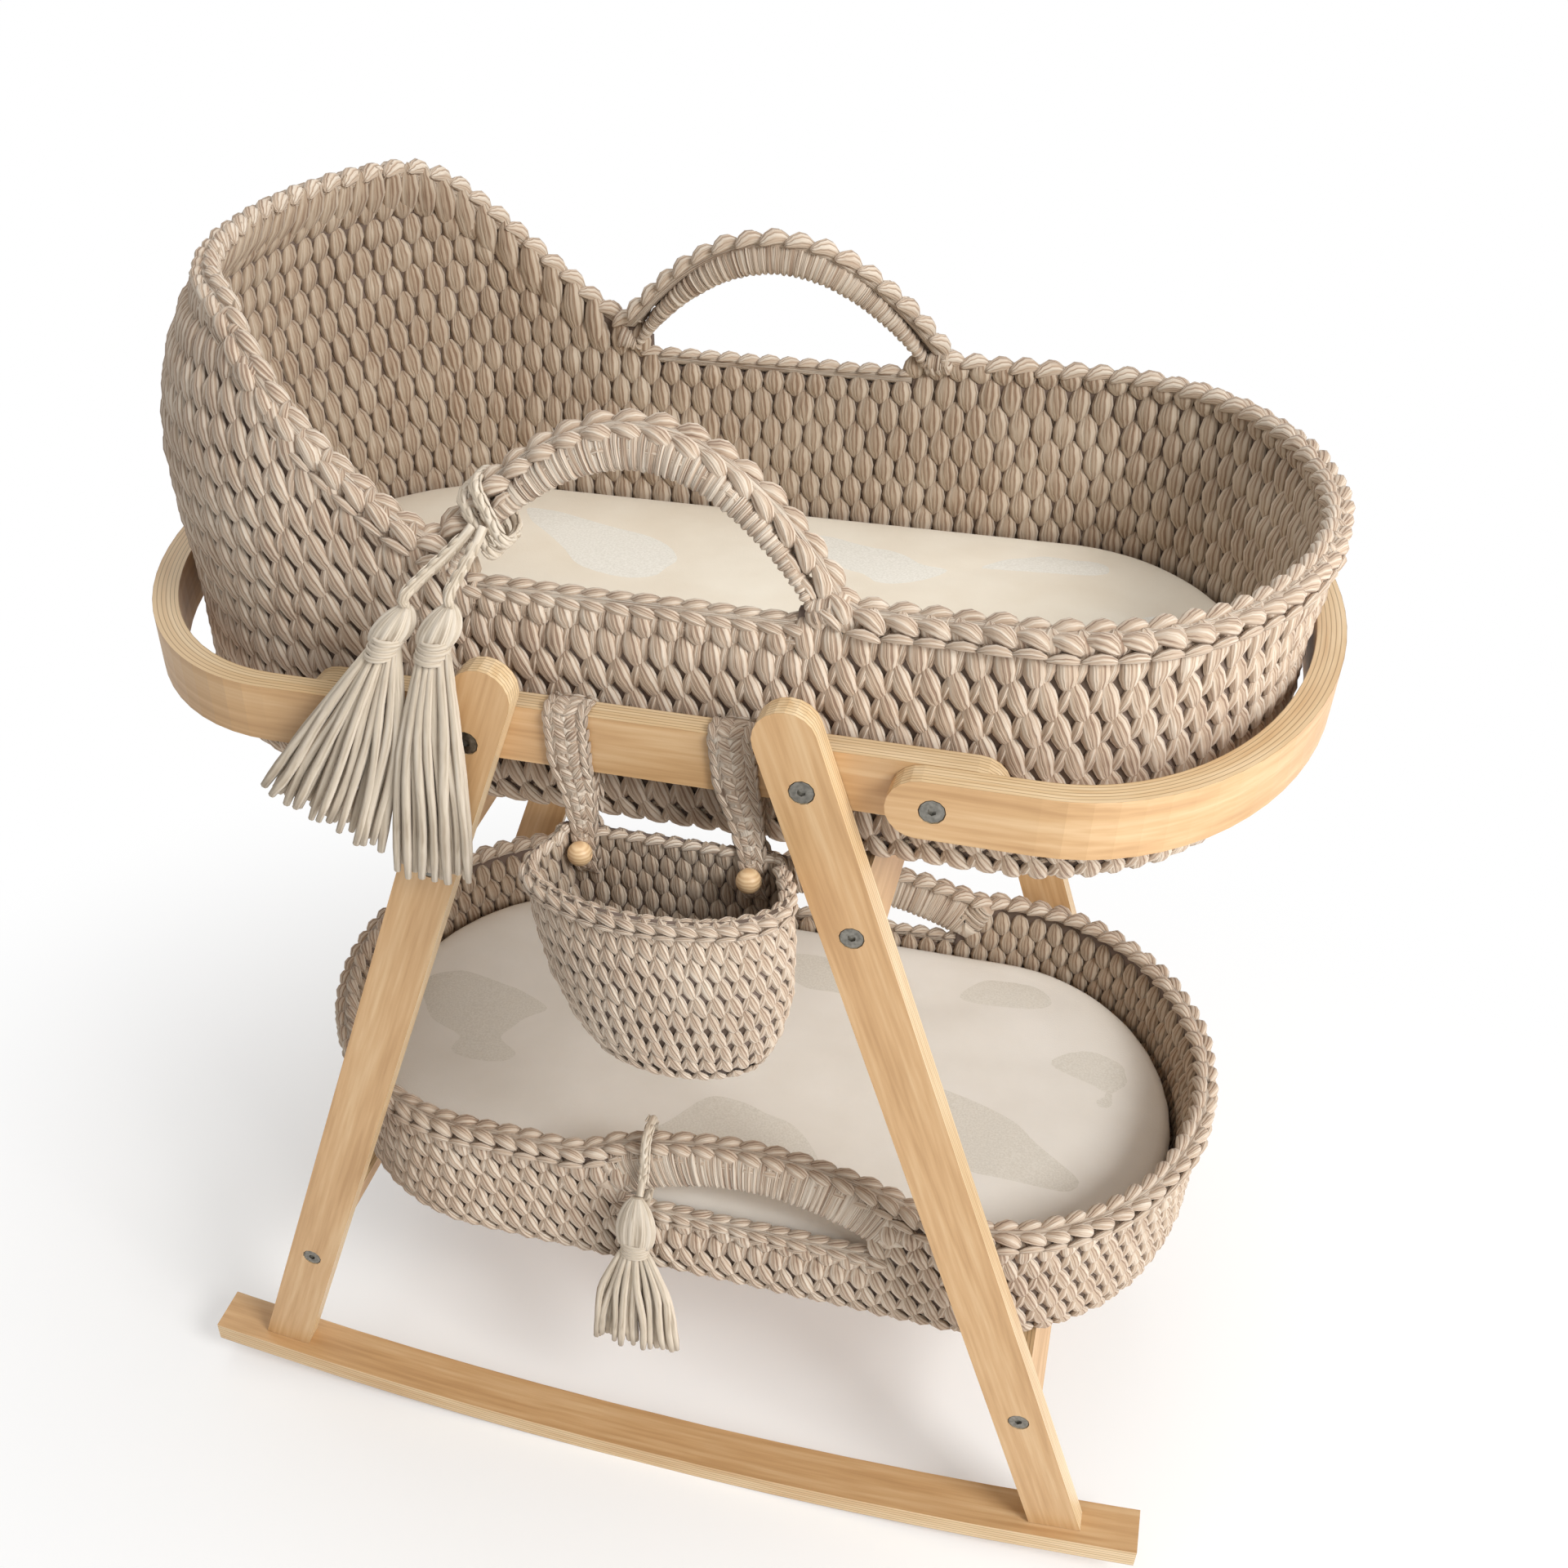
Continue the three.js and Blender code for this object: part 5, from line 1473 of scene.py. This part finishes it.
HEM_RISE = 0.6 * MM
PLEAT = 0.7 * MM
HEM = (41, 30, 20, 13)
SIDE = (
    (9, 0.0), (5, 0.08), (3, 0.2), (1.5, 0.34), (0.4, 0.5), (0, 0.62), (0.6, 0.75), (2, 0.86), (4, 0.93),
    (7, 0.975), (12, 1.0),
)
TOP_RINGS = 26


def sheet_rows(basket):
    """Rings from the hem under the pad, up its side and in over its top."""
    bottom = basket.floor + BOARD + HEM_RISE

    def ring(extra, z, share=1.0):
        return plan_ring(basket, PAD_INSET + extra, z, share, 240)

    rows = [ring(extra * MM, bottom) for extra in HEM]
    rows += [ring(extra * MM, mix(bottom, basket.pad_edge, rise)) for extra, rise in SIDE]
    for step in range(1, TOP_RINGS):
        share = 1 - step / TOP_RINGS
        rows.append(ring(PAD_ROUND, basket.pad_edge + CROWN * (1 - share**2), share))
    return rows + [ring(PAD_ROUND, basket.pad_edge + CROWN, 0.012)]


def fitted_sheet(basket, flat, material):
    phase_shift = 1.1 * len(basket.name)
    bm = new_mesh_builder()
    rings = add_loft(bm, sheet_rows(basket), caps=False)
    bm.faces.new(rings[-1])
    foot, brim = len(HEM), len(HEM) + len(SIDE) - 1
    for number, ring in enumerate(rings):
        for vert in ring:
            if number > brim:
                vert.co.z += sheet_folds(basket, vert.co, phase_shift) - 0.6 * MM
            elif number > foot:
                out = Vector((vert.co.x - basket.x, vert.co.y - MIDDLE_Y, 0))
                angle = math.atan2(out.y, out.x)
                fade = 1 - (number - foot) / len(SIDE)
                pleat = math.sin(61 * angle + 3 * math.sin(5 * angle)) * fade * PLEAT
                vert.co += out.normalized() * (pleat - PLEAT)
    bmesh.ops.recalc_face_normals(bm, faces=bm.faces)
    body = f"{basket.name}_mattress"
    piece = finish_piece(
        f"{basket.name}_sheet_cloth", bm, material, body, "sheet_cotton", f"{basket.name}_fitted_sheet"
    )
    thick = piece.modifiers.new("thickness", "SOLIDIFY")
    thick.thickness = 0.8 * MM
    thick.offset = -1
    area = sum(face.area for face in piece.data.polygons)
    print(piece.name, "area", round(area, 4))
    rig.sheet(piece, flat=flat, held="stretched", rests_on=[pads[basket.name].name], area=area)


fitted_sheet(upper, (0.5, 0.865), cream_cotton)
fitted_sheet(lower, (0.55, 0.87), lit_lower_sheet_cotton)

# %% [markdown]
# ## Birch plywood
# The stand is cut from 18 mm birch plywood. A face shows pale, quiet grain, and a cut edge shows the
# plies as light bands with thin dark glue lines. The thin cross plies can't be told apart from here, so
# each of the six bands drawn stands for a ply with its neighbour. The pattern is worked out from the
# distance through the sheet, so the plies meet at corners.

# %% Plywood material
SHEET = 18 * MM
PLY = SHEET / 6


def birch_plywood(name, measure):
    """measure gives four inputs: the way through the sheet, along and across the grain, and 1 on edges."""
    material, tree, shader = new_material(
        name, {"Roughness": 0.42, "Coat Weight": 0.15, "Coat Roughness": 0.3}
    )
    through, along, across, edge = measure(tree, add_node(tree, "TexCoord").outputs)
    place = add_node(tree, "CombineXYZ", {"X": along, "Y": across, "Z": through})
    # Rays and pores are 0.5 to 1 mm wide and some 30 mm long; broad bands follow the growth rings
    drawn_out = add_node(tree, "VectorMath", {0: place, 1: (14.0, 260.0, 260.0)}, operation="MULTIPLY")
    streaks = add_node(tree, "TexNoise", {"Vector": drawn_out, "Scale": 1.0, "Detail": 3.0})
    broad = add_node(tree, "VectorMath", {0: place, 1: (3.0, 55.0, 30.0)}, operation="MULTIPLY")
    bands = add_node(tree, "TexNoise", {"Vector": broad, "Scale": 1.0, "Detail": 2.0, "Distortion": 0.6})
    grain = add_node(tree, "Math", {0: streaks, 1: bands}, operation="ADD")
    grain = add_node(tree, "Math", {0: grain, 1: 0.5}, operation="MULTIPLY")
    face, light = (
        add_node(tree, "ValToRGB", {"Fac": grain}, [(0.34, dark), (0.66, pale), (0.5, middle)])
        for dark, middle, pale in (("#B88F60", "#C9A172", "#D6B488"), ("#CCA87A", "#D9BD93", "#E6CEA9"))
    )
    # The place inside a ply, and the glue line at its borders
    count = add_node(tree, "Math", {0: through, 1: PLY}, operation="DIVIDE")
    inside = add_node(tree, "Math", {0: count}, operation="FRACT")
    off_middle = add_node(tree, "Math", {0: inside, 1: 0.5}, operation="SUBTRACT")
    off_middle = add_node(tree, "Math", {0: off_middle}, operation="ABSOLUTE")
    glue = add_node(
        tree, "MapRange", {"Value": off_middle, "From Min": 0.36, "From Max": 0.46, "To Max": 0.75}
    )
    cut = add_node(tree, "Mix", {0: glue, 6: light, 7: colour("#8B653D")}, data_type="RGBA")
    tone = add_node(tree, "Mix", {0: edge, 6: face, 7: cut}, data_type="RGBA")
    bump = add_node(tree, "Bump", {"Strength": 0.25, "Distance": 0.0006, "Height": streaks})
    set_inputs(shader, {"Base Color": tone, "Normal": bump})
    return material


def where_facing(tree, facing, operation):
    """1 where a normal's part along one axis is under or over 0.6, whichever way it points."""
    size = add_node(tree, "Math", {0: facing}, operation="ABSOLUTE")
    return add_node(tree, "Math", {0: size, 1: 0.6}, operation=operation)


def strip_measure(through_axis, grain_axis, start):
    """For a flat strip: its axes, and the place of one of its faces along the first of them."""
    through_axis, grain_axis = Vector(through_axis), Vector(grain_axis)
    axes = (through_axis, grain_axis, through_axis.cross(grain_axis))

    def measure(tree, spot):
        through, along, across = (
            add_node(tree, "VectorMath", {0: spot["Object"], 1: axis}, operation="DOT_PRODUCT")
            for axis in axes
        )
        through = add_node(tree, "Math", {0: through, 1: start}, operation="SUBTRACT")
        facing = add_node(tree, "VectorMath", {0: spot["Normal"], 1: through_axis}, operation="DOT_PRODUCT")
        return through, along, across, where_facing(tree, facing, "LESS_THAN")

    return measure


# %% Bent plywood
BEND_FROM = 240 * MM
INNER_BEND = (146 * MM, 226.7 * MM)
OUTER_BEND = (164 * MM, 244.7 * MM)
BEND_RADIUS = 190 * MM


def bend_measure(tree, spot):
    """For the bends: the way through lies between an inner and an outer ellipse."""
    parts = add_node(tree, "SeparateXYZ", {"Vector": spot["Object"]}).outputs
    reach = add_node(tree, "Math", {0: parts["X"]}, operation="ABSOLUTE")
    reach = add_node(tree, "Math", {0: reach, 1: BEND_FROM}, operation="SUBTRACT")
    reach = add_node(tree, "Math", {0: reach, 1: 0.0}, operation="MAXIMUM")
    aside = add_node(tree, "Math", {0: parts["Y"], 1: MIDDLE_Y}, operation="SUBTRACT")
    plan = add_node(tree, "CombineXYZ", {"X": reach, "Y": aside})
    offs = []
    for half_x, half_y in (INNER_BEND, OUTER_BEND):
        shares = add_node(tree, "VectorMath", {0: plan, 1: (half_x, half_y, 1.0)}, operation="DIVIDE")
        length = add_node(tree, "VectorMath", {0: shares}, operation="LENGTH")
        off = add_node(tree, "Math", {0: length, 1: 1.0}, operation="SUBTRACT")
        offs.append(add_node(tree, "Math", {0: off}, operation="ABSOLUTE"))
    both = add_node(tree, "Math", {0: offs[0], 1: offs[1]}, operation="ADD")
    share = add_node(tree, "Math", {0: offs[0], 1: both}, operation="DIVIDE")
    through = add_node(tree, "Math", {0: share, 1: SHEET}, operation="MULTIPLY")
    angle = add_node(tree, "Math", {0: aside, 1: reach}, operation="ARCTAN2")
    along = add_node(tree, "Math", {0: angle, 1: BEND_RADIUS, 2: parts["X"]}, operation="MULTIPLY_ADD")
    facing = add_node(tree, "SeparateXYZ", {"Vector": spot["Normal"]}).outputs["Z"]
    return through, along, parts["Z"], where_facing(tree, facing, "GREATER_THAN")


ROCKER_RADIUS = 2681.7 * MM


def rocker_measure(tree, spot):
    """For the rockers: they lie flat and are bent along an arc, so the way through is up from the arc."""
    parts = add_node(tree, "SeparateXYZ", {"Vector": spot["Object"]}).outputs
    rise = add_node(tree, "Math", {0: parts["Z"], 1: ROCKER_RADIUS}, operation="SUBTRACT")
    arm = add_node(tree, "CombineXYZ", {"X": parts["X"], "Y": rise})
    arm = add_node(tree, "VectorMath", {0: arm}, operation="LENGTH")
    through = add_node(tree, "Math", {0: ROCKER_RADIUS, 1: arm}, operation="SUBTRACT")
    facing = add_node(tree, "SeparateXYZ", {"Vector": spot["Normal"]}).outputs["Z"]
    return through, parts["X"], parts["Y"], where_facing(tree, facing, "LESS_THAN")


# %% Finish the stand
def dress(node, material):
    materials = frame["nodes"][node].data.materials
    materials.clear()
    materials.append(material)


def dress_strip(node, axes, start, name=None):
    dress(node, birch_plywood(f"birch_plywood_{name or node}", strip_measure(*axes, start)))


LEAN = math.radians(19.3)
for end, way in (("head", -1), ("foot", 1)):
    down = (way * math.sin(LEAN), 0, -math.cos(LEAN))
    for side in ("front", "rear"):
        node = f"leg_{side}_{end}"
        dress_strip(node, ((0, 1, 0), down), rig.box(node)[0].y, f"leg_{end}_{side}")
    through = Vector((math.cos(LEAN), 0, way * math.sin(LEAN)))
    for level in ("upper", "lower"):
        node = f"{level}_crossbar_{end}"
        low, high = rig.box(node)
        dress_strip(node, (through, (0, 1, 0)), through.dot((low + high) / 2) - SHEET / 2)
    dress(f"ring_bend_{end}", birch_plywood(f"bent_birch_plywood_{end}", bend_measure))
for side in ("front", "rear"):
    node = f"side_rail_{side}"
    dress_strip(node, ((0, 1, 0), (1, 0, 0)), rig.box(node)[0].y, f"rail_{side}")
    dress(f"rocker_{side}", birch_plywood(f"bent_birch_plywood_rocker_{side}", rocker_measure))
for basket in (upper, lower):
    node = f"{basket.name}_base_board"
    dress_strip(node, ((0, 0, 1), (1, 0, 0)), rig.box(node)[0].z)
print("plywood materials:", sum("plywood" in material.name for material in bpy.data.materials))

# %% [markdown]
# ## Bolts and screws
# The socket head bolts and the screws are zinc-plated steel. Their heads are drawn smooth, with a faint
# cloudiness in the plating that breaks up the reflection.

# %% Plated steel
plated_steel, tree, shader = new_material("zinc_plated_steel", {"Metallic": 1.0})
cloud, tone = clouded(tree, 350.0, 3.0, [(0.3, "#6C6A64"), (0.7, "#95928B")])
dull = add_node(tree, "MapRange", {"Value": cloud, "To Min": 0.22, "To Max": 0.42})
set_inputs(shader, {"Base Color": tone, "Roughness": dull})
fasteners = [
    f"{kind}_{side}_{end}"
    for kind in ("rail_bolt", "ring_bolt", "upper_bar_bolt", "lower_bar_bolt", "rocker_screw")
    for side in ("front", "rear")
    for end in ("head", "foot")
]
for node in fasteners:
    dress(node, plated_steel)
print("fasteners:", len(fasteners))

# %% [markdown]
# ## Floor and light
# A pale floor carries the cradle's shadow, and the world is white for the camera. Large soft lamps light
# it from the right and from above, at a level where a colour shows about as it is written.

# %% Floor, lamps and world
def area_lamp(name, place, target, size, watts):
    lamp = bpy.data.objects.new(name, bpy.data.lights.new(name, "AREA"))
    lamp.data.size = size
    lamp.data.energy = watts
    lamp.location = place
    lamp.rotation_mode = "QUATERNION"
    lamp.rotation_quaternion = (Vector(target) - Vector(place)).to_track_quat("-Z", "Y")
    bpy.context.scene.collection.objects.link(lamp)


area_lamp("key_softbox", (1.9, -1.3, 2.2), (0, 0, 0.5), 1.0, 52)
area_lamp("low_softbox", (2.4, -1.2, 0.75), (0.1, 0, 0.25), 0.9, 22)
area_lamp("top_softbox", (-0.2, 0.4, 2.8), (0, 0, 0.5), 1.6, 16)

bm = bmesh.new()
bmesh.ops.create_grid(bm, x_segments=1, y_segments=1, size=12)
floor = bpy.data.objects.new("floor", as_mesh("floor", bm))
bpy.context.scene.collection.objects.link(floor)
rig.stage(floor)
material, tree, shader = new_material("studio_floor", {"Roughness": 0.9, "Base Color": colour("#FBFAF8")})
# The floor looks white to the camera further off, and near the cradle it shows the shadow
spot = add_node(tree, "TexCoord").outputs["Object"]
centred = add_node(tree, "VectorMath", {0: spot, 1: (1.0, 1.2, 0.0)}, operation="MULTIPLY")
far = add_node(tree, "VectorMath", {0: centred}, operation="LENGTH")
white = add_node(
    tree, "MapRange", {"Value": far, "From Min": 0.3, "From Max": 1.1, "To Min": 0.25, "To Max": 1.0},
    interpolation_type="SMOOTHSTEP",
)
seen = add_node(tree, "LightPath").outputs["Is Camera Ray"]
white = add_node(tree, "Math", {0: white, 1: seen}, operation="MULTIPLY")
glow = add_node(tree, "Emission", {"Color": (1.0, 1.0, 1.0, 1.0), "Strength": 1.0})
both = add_node(tree, "MixShader", {0: white, 1: shader, 2: glow})
set_inputs(tree.nodes["Material Output"], {"Surface": both})
floor.data.materials.append(material)

world = bpy.data.worlds.new("studio")
bpy.context.scene.world = world
world.use_nodes = True
tree = world.node_tree
rays = add_node(tree, "LightPath").outputs
seen = add_node(tree, "Math", {0: rays["Is Camera Ray"], 1: rays["Is Glossy Ray"]}, operation="MAXIMUM")
seen = add_node(tree, "Math", {0: seen, 1: rays["Is Transmission Ray"]}, operation="MAXIMUM")
strength = add_node(tree, "MapRange", {"Value": seen, "To Min": 0.48, "To Max": 1.0})
set_inputs(tree.nodes["Background"], {"Color": (1.0, 1.0, 1.0, 1.0), "Strength": strength})
bpy.context.scene.view_settings.view_transform = "Standard"

# %% [markdown]
# ## The finished size
# The box of the finished cradle is kept beside the rigid model's box.

# %% Sizes and finish
low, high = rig.bounds()
with open("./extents.json", "w") as size_file:
    json.dump({"cad": [list(cad_low), list(cad_high)], "visual": [list(low), list(high)]}, size_file)
print("grown by, in mm:", [round((a - b) * 1000, 1) for a, b in zip(cad_low, low)],
      [round((b - a) * 1000, 1) for a, b in zip(cad_high, high)])
